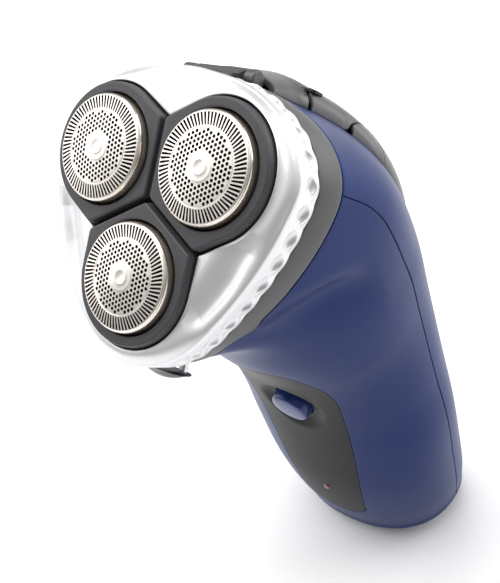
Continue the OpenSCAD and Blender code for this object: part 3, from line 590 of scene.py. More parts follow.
def carrier(k):
    C = 540
    phi = np.arange(C) * 2 * np.pi / C
    dx, dy = np.cos(phi), np.sin(phi)

    def rho(d, soft=60):
        """outline radius round the head centre, drawn in by d"""
        R_, L_, g = 13.2, 15.1, 0.84
        vals = [np.full(C, R_ - d)]
        cons = []
        s60 = math.sin(math.radians(60))
        for sy in (1, -1):
            nx, ny = -s60, sy * 0.5           # arm sides
            cons.append((nx, ny, -(g / 2) - d))
            cons.append((0.0, float(sy), R_ - d))
        far = []
        for nx, ny, dd in cons:
            den = nx * dx + ny * dy
            num = dd - nx * HEAD_R
            far.append(np.where(den > 1e-4, num / np.maximum(den, 1e-4), 1e3))
        m = np.stack(far)
        m = (m ** (-soft)).sum(0) ** (-1 / soft)
        out = np.where(dx >= 0, R_ - d, m)
        return out

    rows = []
    for d, n in ((0.5, -4.5), (0.06, -4.45), (0.0, -4.3), (0.0, -1.35), (0.02, -1.2), (0.10, -1.12), (0.13, -1.02), (0.13, -0.5),
                 (0.17, -0.3), (0.28, -0.12), (0.42, -0.02), (0.6, 0.0)):
        rows.append((rho(d), n))
    top = rho(0.6)
    for w in (0.15, 0.35, 0.55, 0.75, 0.9):
        rows.append((lerp(top, np.full(C, 11.42), w), 0.0))
    for r, n in ((11.42, 0.0), (11.22, -0.04), (11.1, -0.16), (11.06, -0.35), (11.06, -2.3), (11.1, -2.42), (11.75, -2.46), (11.8, -2.6), (11.8, -4.4), (11.9, -4.5)):
        rows.append((np.full(C, r), n))
    a = math.radians(ANG[k])
    ca, sa = math.cos(a), math.sin(a)
    P = []
    for r, n in rows:
        x = HEAD_R + r * dx
        y = r * dy
        P.append(face(x * ca - y * sa, x * sa + y * ca, np.full(C, float(n))))
    grid("surround_" + k, np.stack(P), M_CHAR, "carrier_" + k, cyc_c=True, cyc_r=True, replaces=["carrier_" + k], slot="charcoal_surround", sharp=50)


for k in ANG:
    carrier(k)

# ------------------------------------------------------------------ guards
HR = [0.0, 1.1, 1.2, 1.29, 1.38, 1.47, 1.56, 2.2, 2.45, 2.6, 2.7, 2.78, 2.86, 5.2, 7.0, 7.08, 7.15, 7.22, 7.3, 9.95, 10.05, 10.15, 10.24, 10.3]
HH = [2.50, 2.50, 2.53, 2.56, 2.56, 2.53, 2.50, 2.50, 2.49, 2.48, 2.46, 2.44, 2.42, 2.28, 2.14, 2.12, 2.04, 2.04, 2.11, 1.86, 1.80, 1.73, 1.62, 1.50]


def cap_h(r):
    return np.interp(r, HR, HH)


def cap_mesh():
    NS, r0, r1, sweep = 74, 7.44, 9.86, math.radians(13)
    loops = []
    holes_c = []
    # slots, slightly swept, wider outwards
    for i in range(NS):
        a = 2 * math.pi * i / NS
        c0 = np.array([r0 * math.cos(a), r0 * math.sin(a)])
        d = np.array([math.cos(a + sweep), math.sin(a + sweep)])
        Ls = (r1 - r0) / math.cos(sweep)
        nrm = np.array([-d[1], d[0]])
        w0, w1 = 0.180, 0.245
        pts = [c0 + nrm * w0 * 0.6 - d * 0.0, c0 + nrm * w0 + d * 0.1, c0 + d * (Ls - 0.12) + nrm * w1, c0 + d * Ls + nrm * w1 * 0.55,
               c0 + d * Ls - nrm * w1 * 0.55, c0 + d * (Ls - 0.12) - nrm * w1, c0 - nrm * w0 + d * 0.1, c0 - nrm * w0 * 0.6]
        loops.append(np.array(pts))
    # hexagonal field of round holes
    p, rh = 0.945, 0.355
    for i in range(-12, 13):
        for j in range(-12, 13):
            x = i * p * math.sqrt(3) / 2
            y = (j + (0.5 if i % 2 else 0.0)) * p
            r = math.hypot(x, y)
            if 3.12 < r < 6.66:
                t = np.arange(10) * 2 * np.pi / 10 + 0.3
                loops.append(np.stack([x + rh * np.cos(t), y + rh * np.sin(t)], -1))
                holes_c.append((x, y))
    V, E = [], []
    for lp in loops:
        n0 = len(V)
        V += [tuple(q) for q in lp]
        E += [(n0 + i, n0 + (i + 1) % len(lp)) for i in range(len(lp))]
    hole_v = len(V)
    for r in HR[1:]:
        n = 180 if r > 9.7 else 120 if r > 7.1 else 96 if r > 2.2 else 48
        if 2.9 < r < 6.99:
            continue
        n0 = len(V)
        t = (np.arange(n) + 0.5) * 2 * np.pi / n
        V += list(zip(r * np.cos(t), r * np.sin(t)))
        E += [(n0 + i, n0 + (i + 1) % n) for i in range(n)]
    V.append((0.0, 0.0))
    res = mg.delaunay_2d_cdt([Vector(v) for v in V], E, [], 0, 1e-6)
    vo, fo = np.array([tuple(v) for v in res[0]]), res[2]
    keep = []
    hc = np.array(holes_c)
    lps = loops[:NS]
    for f in fo:
        c = vo[list(f)].mean(0)
        r = math.hypot(*c)
        if r > 10.3:
            continue
        if 2.7 < r < 7.0 and (np.hypot(hc[:, 0] - c[0], hc[:, 1] - c[1]) < rh * 0.985).any():
            continue
        if 7.4 < r < 9.95:
            a = math.atan2(c[1], c[0])
            hit = False
            for di in (-1, 0, 1, 2):
                i = int(round(a / (2 * math.pi) * NS)) - di
                a0 = 2 * math.pi * i / NS
                c0 = np.array([r0 * math.cos(a0), r0 * math.sin(a0)])
                d = np.array([math.cos(a0 + sweep), math.sin(a0 + sweep)])
                q = c - c0
                s = q @ d
                t = abs(q @ np.array([-d[1], d[0]]))
                Ls = (r1 - r0) / math.cos(sweep)
                if -0.001 < s < Ls + 0.001 and t < lerp(0.180, 0.245, min(1, max(0, s / Ls))):
                    hit = True
                    break
            if hit:
                continue
        keep.append(list(f))
    used = np.unique(np.array([i for f in keep for i in f]))
    idx = -np.ones(len(vo), int)
    idx[used] = np.arange(len(used))
    vo = vo[used]
    keep = [[int(idx[i]) for i in f] for f in keep]
    r = np.hypot(vo[:, 0], vo[:, 1])
    h = cap_h(r)
    n = len(vo)
    topv = np.column_stack([vo, h])
    sc = np.where(r > 10.2, 10.0 / np.maximum(r, 1e-6), 1)
    botv = np.column_stack([vo * sc[:, None], h - 0.14])
    V3 = np.concatenate([topv, botv])
    # orientation up
    F = []
    for f in keep:
        a, b, c = vo[f[0]], vo[f[1]], vo[f[2]]
        if (b[0] - a[0]) * (c[1] - a[1]) - (b[1] - a[1]) * (c[0] - a[0]) < 0:
            f = f[::-1]
        F.append(f)
    cnt = {}
    for f in F:
        for i in range(len(f)):
            cnt[(f[i], f[(i + 1) % len(f)])] = 1
    walls = [[a, n + a, n + b, b] for (a, b) in cnt if (b, a) not in cnt]
    walls = [[w[3], w[2], w[1], w[0]][::-1] for w in walls]
    G = F + [[n + i for i in f[::-1]] for f in F] + [[w[0], w[1], w[2], w[3]] for w in walls]
    return V3, G


CAPV, CAPF = cap_mesh()
cap_me = None
for k in ANG:
    if cap_me is None:
        o = make("guard_cap_" + k, CAPV, CAPF, M_GUARD, None, slot="guard_steel", closed=True, sharp=32)
        cap_me = o.data
    else:
        o = bpy.data.objects.new("guard_cap_" + k, cap_me)
        COL.objects.link(o)
    o.matrix_world = head_m(k) @ Matrix.Rotation(math.radians({"left": 4, "right": 0, "front": 2}[k]), 4, "Z")
    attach(o, "guard_" + k)
    # polished skirt with its rolled rim and the retaining flange
    prof = [(9.98, 1.60), (10.26, 1.52), (10.38, 1.42), (10.46, 1.26), (10.52, 1.0), (10.62, 0.4), (10.74, -0.2), (10.84, -0.9), (10.9, -1.7), (10.92, -2.58),
            (11.0, -2.66), (11.58, -2.7), (11.6, -2.8), (11.6, -3.1), (11.5, -3.16), (10.5, -3.16), (10.42, -3.05), (10.4, -0.2), (10.2, 0.3), (10.04, 1.3)]
    lathe("guard_skirt_" + k, prof, M_SKIRT, "guard_" + k, M=head_m(k), seg=160, replaces=["guard_" + k], slot="guard_steel", sharp=60)

# ------------------------------------------------------------------ head collar
def uc(a):
    a = np.asarray(a, float) % 360
    return 0.03 + 0.15 * np.clip((46 - np.abs(a - 270)) / 7, 0, 1)


def smoothstep(x):
    x = np.clip(x, 0, 1)
    return x * x * (3 - 2 * x)


def uc_s(a):
    a = np.asarray(a, float) % 360
    return 0.03 + 0.15 * smoothstep((47 - np.abs(a - 270)) / 9)


def obj2face(P):
    y, z = P[..., 1] - FYC, P[..., 2] - FZC
    return np.stack([P[..., 0], y * CT + z * ST, -y * ST + z * CT], -1)


CA = np.unique(np.concatenate([np.linspace(0, 360, 361)[:-1], np.linspace(246, 294, 145)])) % 360
CA = np.unique(CA)
low = skin(uc_s(CA), CA)
lowf = obj2face(low)
tht = np.degrees(np.arctan2(lowf[:, 1], lowf[:, 0]))
rt = r_skirt(tht) - 0.45
topf = np.stack([rt * np.cos(np.radians(tht)), rt * np.sin(np.radians(tht)), np.full(len(CA), -9.95)], -1)
# notch at the front for the release tab, at the back for the hinge
notch = np.clip((9.2 - np.abs(topf[:, 0])) / 0.3, 0, 1) * (topf[:, 1] < 0)
notch_b = np.clip((6.6 - np.abs(topf[:, 0])) / 0.3, 0, 1) * (topf[:, 1] > 0)


def collar_row(w, off):
    """w 0 at the top edge, 1 at the bottom, off inwards"""
    w0 = np.maximum(notch * 0.93, notch_b * 0.75)
    ww = w0 + (1 - w0) * w
    rr_t, rr_l = np.hypot(topf[:, 0], topf[:, 1]), np.hypot(lowf[:, 0], lowf[:, 1])
    n = lerp(topf[:, 2], lowf[:, 2], ww)
    bulge = 0.25 * np.sin(np.pi * ww)
    r = lerp(rr_t, rr_l, ww) + bulge - off
    t = np.radians(tht)
    return face(r * np.cos(t), r * np.sin(t), n)


cw = [0, 0.015, 0.05, 0.1, 0.2, 0.32, 0.45, 0.58, 0.7, 0.8, 0.9, 0.96, 0.99, 1.0]
co = [0.3, 0.1, 0.02, 0, 0, 0, 0, 0, 0, 0, 0, 0.02, 0.08, 0.22]
P = [collar_row(w, o_) for w, o_ in zip(cw, co)] + [collar_row(1.0, 1.5), collar_row(0.5, 1.7), collar_row(0.0, 1.6)]
grid("collar", np.stack(P), M_COLLAR, "handle", cyc_c=True, cyc_r=True, replaces=["head_collar"], slot="collar_grey", sharp=45)

# hinge ears, rounded
parts = []
for s in (-1, 1):
    pts = [(26.3 + 1.9 * math.cos(t), -13.9 + 1.9 * math.sin(t)) for t in np.linspace(math.radians(-80), math.radians(140), 22)]
    pts += [(22.9, -13.0), (22.7, -15.5), (24.5, -15.8)]
    x0, x1 = s * 7.95 - 1.3, s * 7.95 + 1.3
    V = np.concatenate([face(np.full(len(pts), x), [p[0] for p in pts], [p[1] for p in pts]) for x in (x0, x1)])
    n_ = len(pts)
    F = [list(range(n_)), list(range(2 * n_ - 1, n_ - 1, -1))] + [[i, n_ + i, n_ + (i + 1) % n_, (i + 1) % n_] for i in range(n_)]
    # ears use the darkened copy of the collar grey, painted shade
    o = make("hinge_ear_" + ("left" if s < 0 else "right"), V, F, M_HCOV_PAINTED_SHADE, "handle", slot="collar_grey", closed=True, sharp=35)
    add_bevel(o, 0.4, 3, 50)

# ------------------------------------------------------------------ release tab
def tab():
    R, C = 15, 41
    rows = []
    for i in range(R):
        w = i / (R - 1)
        ph_ = lerp(-90, 90, w)
        rows.append((-14.05 - 2.85 * math.sin(math.radians(ph_)), math.cos(math.radians(ph_))))
    P = []
    xs = np.sin(np.linspace(-np.pi / 2, np.pi / 2, C)) * 7.9
    for n, f in rows:
        rt_ = lerp(14.3, 12.2, smoothstep((n + 15.6) / 4.6))
        b = -20.6 - np.sqrt(np.maximum(0, rt_ ** 2 - (xs * max(f, 0.03) ** 0.45) ** 2))
        edge = np.maximum(0, 1 - (np.abs(xs) / 7.9) ** 2.8) ** 0.5
        xr = xs * max(f, 0.03) ** 0.45
        inner = -32.3
        out_ = lerp(inner - 0.3, b, np.clip(f, 0, 1) ** 0.55 * edge)
        P.append(face(xr, out_, np.full(C, n)))
    P = np.stack(P)
    back = P.copy()
    # flat back face
    f_ = obj2face(P)
    back = face(f_[..., 0], np.full(f_.shape[:2], -32.4), f_[..., 2])
    V = np.concatenate([P.reshape(-1, 3), back.reshape(-1, 3)])
    n0 = R * C
    F = grid_faces(R, C)
    F += [[n0 + i for i in f[::-1]] for f in F]
    for c in range(C - 1):
        F.append([c + 1, c, n0 + c, n0 + c + 1])
        F.append([(R - 1) * C + c, (R - 1) * C + c + 1, n0 + (R - 1) * C + c + 1, n0 + (R - 1) * C + c])
    for r in range(R - 1):
        F.append([r * C, (r + 1) * C, n0 + (r + 1) * C, n0 + r * C])
        F.append([(r + 1) * C + C - 1, r * C + C - 1, n0 + r * C + C - 1, n0 + (r + 1) * C + C - 1])
    make("release_tab", V, F, M_BLACK, "release_button", replaces=["release_button"], slot="black_plastic", closed=True, sharp=60)


tab()

# ------------------------------------------------------------------ handle shells
PA = [27.7, 27.7, 27.7, 27.9, 25.2, 22.6, 20.4, 18, 18]


def pan_a(u):
    return cr(PA, np.clip(u, 0, 8))


def pu_top(t):
    return 1.95 + 1.25 * np.abs(t) ** 4


def pu_bot(t):
    return 7.25 - 0.4 * np.abs(t) ** 2.5


def seam(u):
    """angle of the joint between the shells, on the +X side"""
    return np.interp(u, [0, 0.25, 0.45, 0.75, 1.1, 1.5, 2.0, 3.3, 4.5, 9], [3.0, 2.6, 2.2, -1.2, -3.8, -3.8, -2.0, -1.0, 0.0, 0.0])


def seam_s(u):
    return (seam(u - 0.12) + seam(u) + seam(u + 0.12)) / 3


GAP = 0.22          # half width of the joint in degrees


def front_shell():
    nL, nP = 46, 34
    nT, nM, nB, nE = 40, 84, 12, 18
    C = 2 * nL + nP + 1
    R = nT + nM + nB + nE + 1
    c = np.arange(C)
    T = np.clip((c - nL - nP / 2) / (nP / 2), -1, 1)
    U = np.zeros((R, C))
    for r in range(R):
        a3 = np.where(c <= nL, lerp(180, 270 - 27.7, c / nL), np.where(c < nL + nP, 270 + T * 27.7, lerp(270 + 27.7, 360, (c - nL - nP) / nL)))
        u0 = uc_s(a3) + 0.010
        ut, ub = pu_top(T), pu_bot(T)
        if r <= nT:
            U[r] = lerp(u0, ut, r / nT)
        elif r <= nT + nM:
            U[r] = lerp(ut, ub, (r - nT) / nM)
        elif r <= nT + nM + nB:
            U[r] = lerp(ub, 8, (r - nT - nM) / nB)
        else:
            U[r] = 8 + ((r - nT - nM - nB) / nE) ** 0.8
    h = pan_a(U)
    sm = seam_s(U)
    Aa = np.where(c[None] <= nL, lerp(180 - sm + GAP, 270 - h, c[None] / nL),
                  np.where(c[None] < nL + nP, 270 + T[None] * h, lerp(270 + h, 360 + sm - GAP, (c[None] - nL - nP) / nL)))
    P = skin(U, Aa)
    mask = np.ones((R - 1, C - 1), bool)
    mask[nT:nT + nM, nL:nL + nP] = False
    grid("front_shell_skin", P, M_BLUE, "handle", mask=mask, solid=1.7, bevel=0.16, replaces=["front_shell"], slot="body_blue", ref=(0, FYC + 38, 70))


front_shell()

WA = [67, 66, 55.5, 40, 34, 34, 38, 45, 54]


def wa(u):
    return cr(WA, np.clip((np.asarray(u, float) - 0.2) / 0.3, 0, 8))


def wu_bot(t):
    return 2.6 + 0.6 * (1 - np.asarray(t, float) ** 2)


def rear_shell():
    nL, nP = 46, 40
    nW, nM, nE = 50, 70, 18
    C = 2 * nL + nP + 1
    R = nW + nM + nE + 1
    c = np.arange(C)
    T = np.clip((c - nL - nP / 2) / (nP / 2), -1, 1)
    U = np.zeros((R, C))
    for r in range(R):
        wb = wu_bot(T)
        if r <= nW:
            U[r] = lerp(0.04, wb, r / nW)
        elif r <= nW + nM:
            U[r] = lerp(wb, 8, (r - nW) / nM)
        else:
            U[r] = 8 + ((r - nW - nM) / nE) ** 0.8
    h = wa(U)
    sm = seam_s(U)
    Aa = np.where(c[None] <= nL, lerp(sm + GAP, h, c[None] / nL), np.where(c[None] < nL + nP, lerp(h, 180 - h, (c[None] - nL) / nP), lerp(180 - h, 180 - sm - GAP, (c[None] - nL - nP) / nL)))
    P = skin(U, Aa)
    mask = np.ones((R - 1, C - 1), bool)
    mask[:nW, nL:nL + nP] = False
    grid("rear_shell_skin", P, M_BLUE_R, "handle", mask=mask, solid=1.7, bevel=0.16, replaces=["rear_shell"], slot="body_blue", ref=(0, FYC + 30, 70))


rear_shell()

# ------------------------------------------------------------------ front panel with the dished button recess
BTN = np.array([0.0, FYC + 13.1, FZC - 79.4])   # button centre on the skin
BT = math.radians(9)
E1, E2, E3 = np.array([1.0, 0, 0]), np.array([0, -math.sin(BT), math.cos(BT)]), np.array([0, -math.cos(BT), -math.sin(BT)])
BTN_M = Matrix(((E1[0], E2[0], E3[0], BTN[0] / 1000), (E1[1], E2[1], E3[1], BTN[1] / 1000), (E1[2], E2[2], E3[2], BTN[2] / 1000), (0, 0, 0, 1)))


def on_skin(p, q):
    """points of the front skin that lie at (p, q) in the plane square to the button axis; returns u, a"""
    p, q = np.asarray(p, float), np.asarray(q, float)
    u = 3.65 - q / 14.5
    a = 270 + p * 1.9
    for _ in range(14):
        X = S(u, a) - BTN
        f1, f2 = X @ E1 - p, X @ E2 - q
        h = 1e-3
        Xu = (S(u + h, a) - S(u - h, a)) / (2 * h)
        Xa = (S(u, a + 0.05) - S(u, a - 0.05)) / 0.1
        j11, j12, j21, j22 = Xu @ E1, Xa @ E1, Xu @ E2, Xa @ E2
        det = j11 * j22 - j12 * j21
        det = np.where(np.abs(det) < 1e-9, 1e-9, det)
        du = (j22 * f1 - j12 * f2) / det
        da = (-j21 * f1 + j11 * f2) / det
        u = u - np.clip(du, -0.6, 0.6)
        a = a - np.clip(da, -12, 12)
    return u, a


def panel():
    C = 240
    th_ = np.arange(C) * 2 * np.pi / C
    # outline of the panel in the (p, q) plane
    gt = 0.012
    t1 = np.linspace(-1, 1, 81)
    us = np.linspace(0, 1, 161)
    top = S(pu_top(t1) + gt, 270 + t1 * (1 - gt) * pan_a(pu_top(t1)))
    bot = S(pu_bot(t1[::-1]) - gt, 270 + t1[::-1] * (1 - gt) * pan_a(pu_bot(t1)))
    rgt = S(lerp(pu_top(1.0) + gt, pu_bot(1.0) - gt, us), 270 + (1 - gt) * pan_a(lerp(pu_top(1.0), pu_bot(1.0), us)))
    lft = S(lerp(pu_bot(1.0) - gt, pu_top(1.0) + gt, us), 270 - (1 - gt) * pan_a(lerp(pu_bot(1.0), pu_top(1.0), us)))
    O = np.concatenate([top[:-1], rgt[:-1], bot[:-1], lft[:-1]]) - BTN
    op, oq = O @ E1, O @ E2
    oa = np.arctan2(oq, op) % (2 * np.pi)
    order = np.argsort(oa)
    oa, orr = oa[order], np.hypot(op, oq)[order]
    # resample the outline radius by angle
    corners = []
    rr = np.interp(th_, np.concatenate([oa - 2 * np.pi, oa, oa + 2 * np.pi]), np.tile(orr, 3))
    extra = np.concatenate([np.linspace(c - 0.035, c + 0.035, 9) for c in [math.atan2(q, p) % (2 * np.pi) for p, q in zip(op, oq) if False]]) if False else []
    th2 = np.unique(np.concatenate([th_, np.array(extra)])) if len(extra) else th_
    r0 = 5.72
    rows_ = [("hole", 3.0), ("hole", 1.2)]
    P = []
    fr = [0.0, 0.03, 0.07, 0.12, 0.18, 0.25]
    rad = []
    for k in range(7):
        rad.append(r0 + 0.5 * k)
    P = []
    q_all = []

    def dish(r):
        d = np.clip((r - r0) / 4.3, 0, 1)
        return -1.55 * (1 - smoothstep(d))

    Rr = [lerp(r0, 10.6, k / 12) for k in range(13)]
    outer = [0.06, 0.14, 0.24, 0.36, 0.48, 0.6, 0.7, 0.79, 0.87, 0.93, 0.97, 0.99, 1.0]
    for r in Rr:
        r_ = np.minimum(r, lerp(r0, rr, min(1, (r - r0) / 4.7 * 0.6)) if False else r)
        q_all.append(np.minimum(np.full(C, r), rr * (0.4 + 0.55 * (r - r0) / 4.7) if False else np.full(C, r)))
    q_all = np.array(q_all)
    # where the outline is closer than the dish, pull the circles in
    lim = rr - 0.9
    for i, r in enumerate(Rr):
        q_all[i] = np.minimum(q_all[i], r0 + (lim - r0) * (i / (len(Rr) - 1)) ** 0.9)
    base = q_all[-1]
    more = np.array([lerp(base, rr, w) for w in outer])
    rad = np.concatenate([q_all, more])
    p = rad * np.cos(th_)[None]
    q = rad * np.sin(th_)[None]
    u, a = on_skin(p, q)
    surf = S(u, a)
    nrm = Snorm(u, a)
    dsp = dish(rad) * smoothstep((rr[None] - rad) / 1.2)
    surf = surf + nrm * (dsp - 0.02)[..., None]
    # hole wall going in along the button axis, rounded mouth
    first = surf[0]
    d0 = (first - BTN) @ E3
    wall = []
    for dr, dn in ((-0.0, -3.6), (0.0, -2.2), (0.0, -0.6), (0.05, -0.22), (0.2, -0.05)):
        rr0 = r0 - 0.25 + dr
        wall.append(BTN + np.outer(rr0 * np.cos(th_), E1) + np.outer(rr0 * np.sin(th_), E2) + np.outer(d0 + dn, E3))
    # rounded outer border
    last_u, last_a = u[-1], a[-1]
    edge = []
    ctr = (surf[-1] - surf[-2])
    ctr = ctr / np.linalg.norm(ctr, axis=-1, keepdims=True)
    for din, dn in ((0.0, 0.0),):
        pass
    rowsP = wall + [s for s in surf]
    e1 = surf[-1] + ctr * 0.05 - nrm[-1] * 0.10
    e2 = surf[-1] + ctr * 0.08 - nrm[-1] * 0.30
    e3 = surf[-1] + ctr * 0.08 - nrm[-1] * 1.6
    rowsP += [e1, e2, e3]
    P = np.stack(rowsP)
    grid("panel", P, M_PANEL, "handle", cyc_c=True, replaces=["front_panel"], slot="panel_dark", ref=(0, FYC + 60, 70), sharp=60)
    # backing so that nothing shows through the joint
    return u, a


panel()

# button: domed glossy cap set deep in the recess
prof = fillet([(0, 1.0), (2.2, 0.97), (3.8, 0.86), (4.75, 0.66), (5.0, 0.3), (5.32, -1.6), (5.4, -5.4), (6.6, -5.5), (6.6, -5.8), (1.7, -5.9), (1.6, -7.4), (0, -7.4)], 0.3)
lathe("button_cap", prof, M_BUTTON, "power_button", M=BTN_M, seg=96, replaces=["power_button"], slot="button_blue", sharp=60)

# charge light: small domed lens
LED = np.array([0.0, FYC + 14.5, FZC - 117.4])
LED_M = Matrix(((1, 0, 0, 0), (0, 0, -1, LED[1] / 1000), (0, 1, 0, LED[2] / 1000), (0, 0, 0, 1)))
prof = fillet([(0, 0.30), (0.45, 0.26), (0.8, 0.12), (0.98, -0.1), (1.0, -3.2), (1.95, -3.4), (2.0, -5.4), (0, -5.4)], 0.1)
lathe("led_dome", prof, M_LED, "handle", M=LED_M, seg=48, replaces=["led_lens"], slot="led_red", sharp=60)

# ------------------------------------------------------------------ trimmer at the back
OUT = np.array([0.0, 0.86, 0.5])


def th_w(u, t):
    return 90 - t * (90 - wa(u) - 0.6)


def tp(u, t, up):
    P = S(u, th_w(u, t))
    h = up * np.maximum(0, 1 - t * t) ** 0.4
    return P + h[..., None] * OUT


def patch(name, u0, u1, up0, up1, mat, body, R=30, C=61, solid=1.4, bevel=0.3, profile=None, **k):
    t = np.sin(np.linspace(-np.pi / 2, np.pi / 2, C))
    w = np.linspace(0, 1, R)[:, None]
    end = wu_bot(t) - 0.012 if u1 is None else np.full(C, u1)
    U = lerp(u0, end[None], w)
    up = lerp(up0, up1, w) if profile is None else profile(w)
    P = tp(U, np.broadcast_to(t, U.shape), np.broadcast_to(up, U.shape))
    return grid(name, P, mat, body, solid=solid, bevel=bevel, ref=(0, FYC + 25, 120), **k)


# hinge cover in the darkened copy of the collar grey: painted shade behind the head
patch("hinge_cover_skin", 0.05, 0.52, 3.2, 5.6, M_HCOV_PAINTED_SHADE, "handle", R=14, bevel=0.35, replaces=["hinge_cover"], slot="collar_grey")
FLAP_W = 19.6


def clipped(name, keep_inside, u0, u1, up0, up1, mat, body, R=24, C=121, solid=1.4, bevel=0.3, off=0.0, **k):
    """a strip of the raised back, cut at |x| = FLAP_W: the inside part or both outside parts"""
    t = np.sin(np.linspace(-np.pi / 2, np.pi / 2, 4001))
    w = np.linspace(0, 1, R)
    if keep_inside:
        P = []
        for wi in w:
            u = lerp(u0, u1, wi)
            X = S(u, th_w(u, t))[:, 0]
            lim = max(abs(t[np.abs(X) <= FLAP_W]).max(), 0.2)
            tt = np.sin(np.linspace(-np.pi / 2, np.pi / 2, C)) if lim > 0.999 else np.linspace(-1, 1, C) * lim
            P.append(tp(np.full(C, u), tt, np.full(C, lerp(up0, up1, wi))))
        return [grid(name, np.stack(P), mat, body, solid=solid, bevel=bevel, ref=(0, FYC + 25, 120), **k)]
    outp = []
    for sgn in (-1, 1):
        us, lims = [], []
        for u in np.linspace(u0, u1, 60):
            X = S(u, th_w(u, t))[:, 0]
            if np.abs(X).max() > FLAP_W + 0.9:
                us.append(u)
                lims.append(abs(t[np.abs(X) <= FLAP_W + 0.3]).max())
        u_ = np.linspace(us[0], us[-1], R)
        l_ = np.interp(u_, us, lims)
        ph2 = np.arcsin(l_)
        P = []
        for u, p0 in zip(u_, ph2):
            tt = sgn * np.sin(np.linspace(p0, np.pi / 2, 14))
            P.append(tp(np.full(14, u), tt, np.full(14, lerp(up0, up1, (u - u0) / (u1 - u0)))))
        kk = dict(k) if sgn > 0 else {q: v for q, v in k.items() if q != "replaces"}
        outp.append(grid(name + ("_right" if sgn > 0 else "_left"), np.stack(P), mat, body, solid=solid, bevel=0.12, ref=(0, FYC + 25, 120), **kk))
    return outp


clipped("trimmer_flap", True, 0.56, 1.14, 5.6, 4.8, M_TRIM, "trimmer_arm", bevel=0.35, replaces=["trimmer_arm"], slot="trimmer_grey")
clipped("trimmer_rail", False, 0.56, 1.165, 5.6, 4.7, M_TRIM, "handle", slot="trimmer_grey")
patch("trimmer_cover", 1.165, None, 4.7, 0.15, M_TRIM, "handle", R=46, bevel=0.3, replaces=["trimmer_housing"], slot="trimmer_grey",
      profile=lambda w: 4.7 * (1 - w) ** 0.75 + 0.15)

# ------------------------------------------------------------------ base socket
HY = FYC + lerp(18.3, 55.6, 0.55)


def oval_ring(rows_, name, mat, slot_, rep=()):
    a = np.arange(96) * 2 * np.pi / 96
    P = np.stack([np.stack([rx * np.cos(a), HY + ry * np.sin(a), np.full(96, z)], -1) for rx, ry, z in rows_])
    return grid(name, P, mat, "handle", cyc_c=True, cyc_r=True, slot=slot_, replaces=rep, sharp=50)


def stadium(r, h, z, n=96):
    a = np.arange(n) * 2 * np.pi / n
    x = r * np.cos(a) + np.sign(np.cos(a)) * h * (np.abs(np.cos(a)) > 1e-6)
    return np.stack([x, HY + r * np.sin(a), np.full(n, z)], -1)


def socket():
    a = np.arange(96) * 2 * np.pi / 96

    def ov(rx, ry, z):
        return np.stack([rx * np.cos(a), HY + ry * np.sin(a), np.full(96, z)], -1)
    rows_ = [ov(8.2, 5.4, 9.4), ov(8.6, 5.7, 9.0), ov(8.65, 5.75, 0.7), ov(8.5, 5.6, 0.3), ov(8.1, 5.2, 0.15),
             stadium(3.75, 2.1, 0.15), stadium(3.5, 2.1, 0.25), stadium(3.3, 2.1, 0.6), stadium(3.3, 2.1, 6.6), stadium(3.1, 2.1, 6.95), stadium(0.2, 2.0, 7.0),
             stadium(0.2, 2.0, 9.3)]
    grid("socket_insert", np.stack(rows_), M_BLACK, "handle", cyc_c=True, cyc_r=True, slot="black_plastic", replaces=["charging_socket"], sharp=50)


socket()

# ------------------------------------------------------------------ stage, light, camera
me = bpy.data.meshes.new("floor")
s = 6.0
me.from_pydata([(-s, -s, 0), (s, -s, 0), (s, s, 0), (-s, s, 0)], [], [(0, 1, 2, 3)])
me.materials.append(material("floor_white", (0.93, 0.93, 0.93), 0.0, 0.85, var=0.005, var_scale=3, rough_var=0.02, grain=30, bump=0.0, spec=0.1))
floor = bpy.data.objects.new("floor", me)
COL.objects.link(floor)
floor.location = (0, 0, CAD_BOX[0].z)

w = bpy.data.worlds.new("studio")
bpy.context.scene.world = w
w.use_nodes = True
nt = w.node_tree
bg = nt.nodes["Background"]
wt = nt.nodes.new("ShaderNodeTexCoord")
sx = nt.nodes.new("ShaderNodeSeparateXYZ")
nt.links.new(wt.outputs["Generated"], sx.inputs[0])
mr_ = nt.nodes.new("ShaderNodeMapRange")
mr_.inputs[1].default_value, mr_.inputs[2].default_value = -0.1, 0.9
mr_.inputs[3].default_value, mr_.inputs[4].default_value = 0.26, 0.75
nt.links.new(sx.outputs[2], mr_.inputs[0])
vd = nt.nodes.new("ShaderNodeVectorMath")
vd.operation = "DOT_PRODUCT"
vd.inputs[1].default_value = (0.55, -0.83, -0.1)
nt.links.new(wt.outputs["Generated"], vd.inputs[0])
md = nt.nodes.new("ShaderNodeMapRange")
md.interpolation_type = "SMOOTHSTEP"
md.inputs[1].default_value, md.inputs[2].default_value = 0.2, 0.95
md.inputs[3].default_value, md.inputs[4].default_value = 1.0, 0.42
nt.links.new(vd.outputs["Value"], md.inputs[0])
mm_ = nt.nodes.new("ShaderNodeMath")
mm_.operation = "MULTIPLY"
nt.links.new(mr_.outputs[0], mm_.inputs[0])
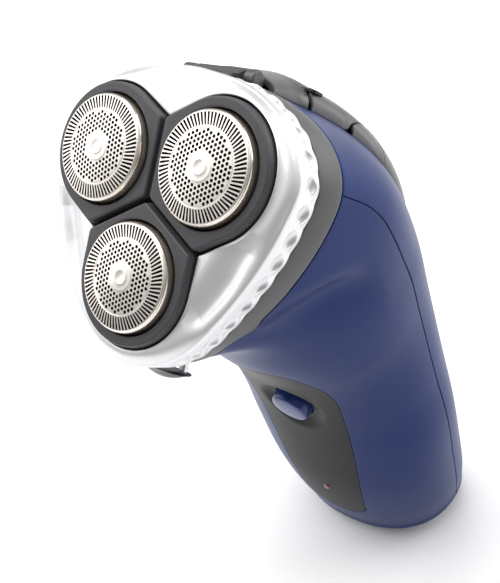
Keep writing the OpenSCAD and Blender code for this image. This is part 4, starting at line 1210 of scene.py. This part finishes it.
nt.links.new(md.outputs[0], mm_.inputs[1])
bg.inputs[0].default_value = (1.0, 1.0, 1.0, 1)
nt.links.new(mm_.outputs[0], bg.inputs[1])


def area(name, loc, target, size, power, color=(1, 1, 1)):
    l = bpy.data.lights.new(name, "AREA")
    l.shape = "RECTANGLE"
    l.size, l.size_y = size
    l.energy = power
    l.color = color
    o = bpy.data.objects.new(name, l)
    COL.objects.link(o)
    o.location = loc
    o.rotation_euler = (Vector(target) - Vector(loc)).to_track_quat("-Z", "Y").to_euler()
    return o


C0 = (0, 0, 0.09)
area("top", (-0.15, 0.10, 1.05), C0, (0.9, 0.9), 10.0)
area("left", (-0.85, -0.15, 0.60), C0, (0.95, 0.95), 4.2)
area("back", (0.55, 0.80, 0.40), C0, (0.8, 0.5), 5.5)

# camera: solved from the three head circles
rv = np.array([2.99172095, 0.37790853, -0.97444312])
tv = np.array([-19.3632757, -17.32899395, 166.26926273])
fpx = math.exp(-0.11135182) * 1000
ang_ = np.linalg.norm(rv)
k_ = rv / ang_
K_ = np.array([[0, -k_[2], k_[1]], [k_[2], 0, -k_[0]], [-k_[1], k_[0], 0]])
Rc = np.eye(3) + math.sin(ang_) * K_ + (1 - math.cos(ang_)) * K_ @ K_
cam_f = -Rc.T @ tv
cam_o = face(*cam_f)
FR = np.array([[1, 0, 0], [0, CT, -ST], [0, ST, CT]])
right, down, fwd = FR @ Rc[0], FR @ Rc[1], FR @ Rc[2]
cd = bpy.data.cameras.new("cam")
cd.sensor_fit = "AUTO"
cd.sensor_width = 36
cd.lens = fpx * 36 / 583
cd.clip_start, cd.clip_end = 0.01, 50
cam = bpy.data.objects.new("cam", cd)
COL.objects.link(cam)
M = Matrix.Identity(4)
for i in range(3):
    M[i][0], M[i][1], M[i][2], M[i][3] = right[i], -down[i], -fwd[i], cam_o[i] / 1000
cam.matrix_world = M
bpy.context.scene.camera = cam
vs = bpy.context.scene.view_settings
vs.view_transform = "Standard"
vs.look = "None"
vs.exposure = 0.0
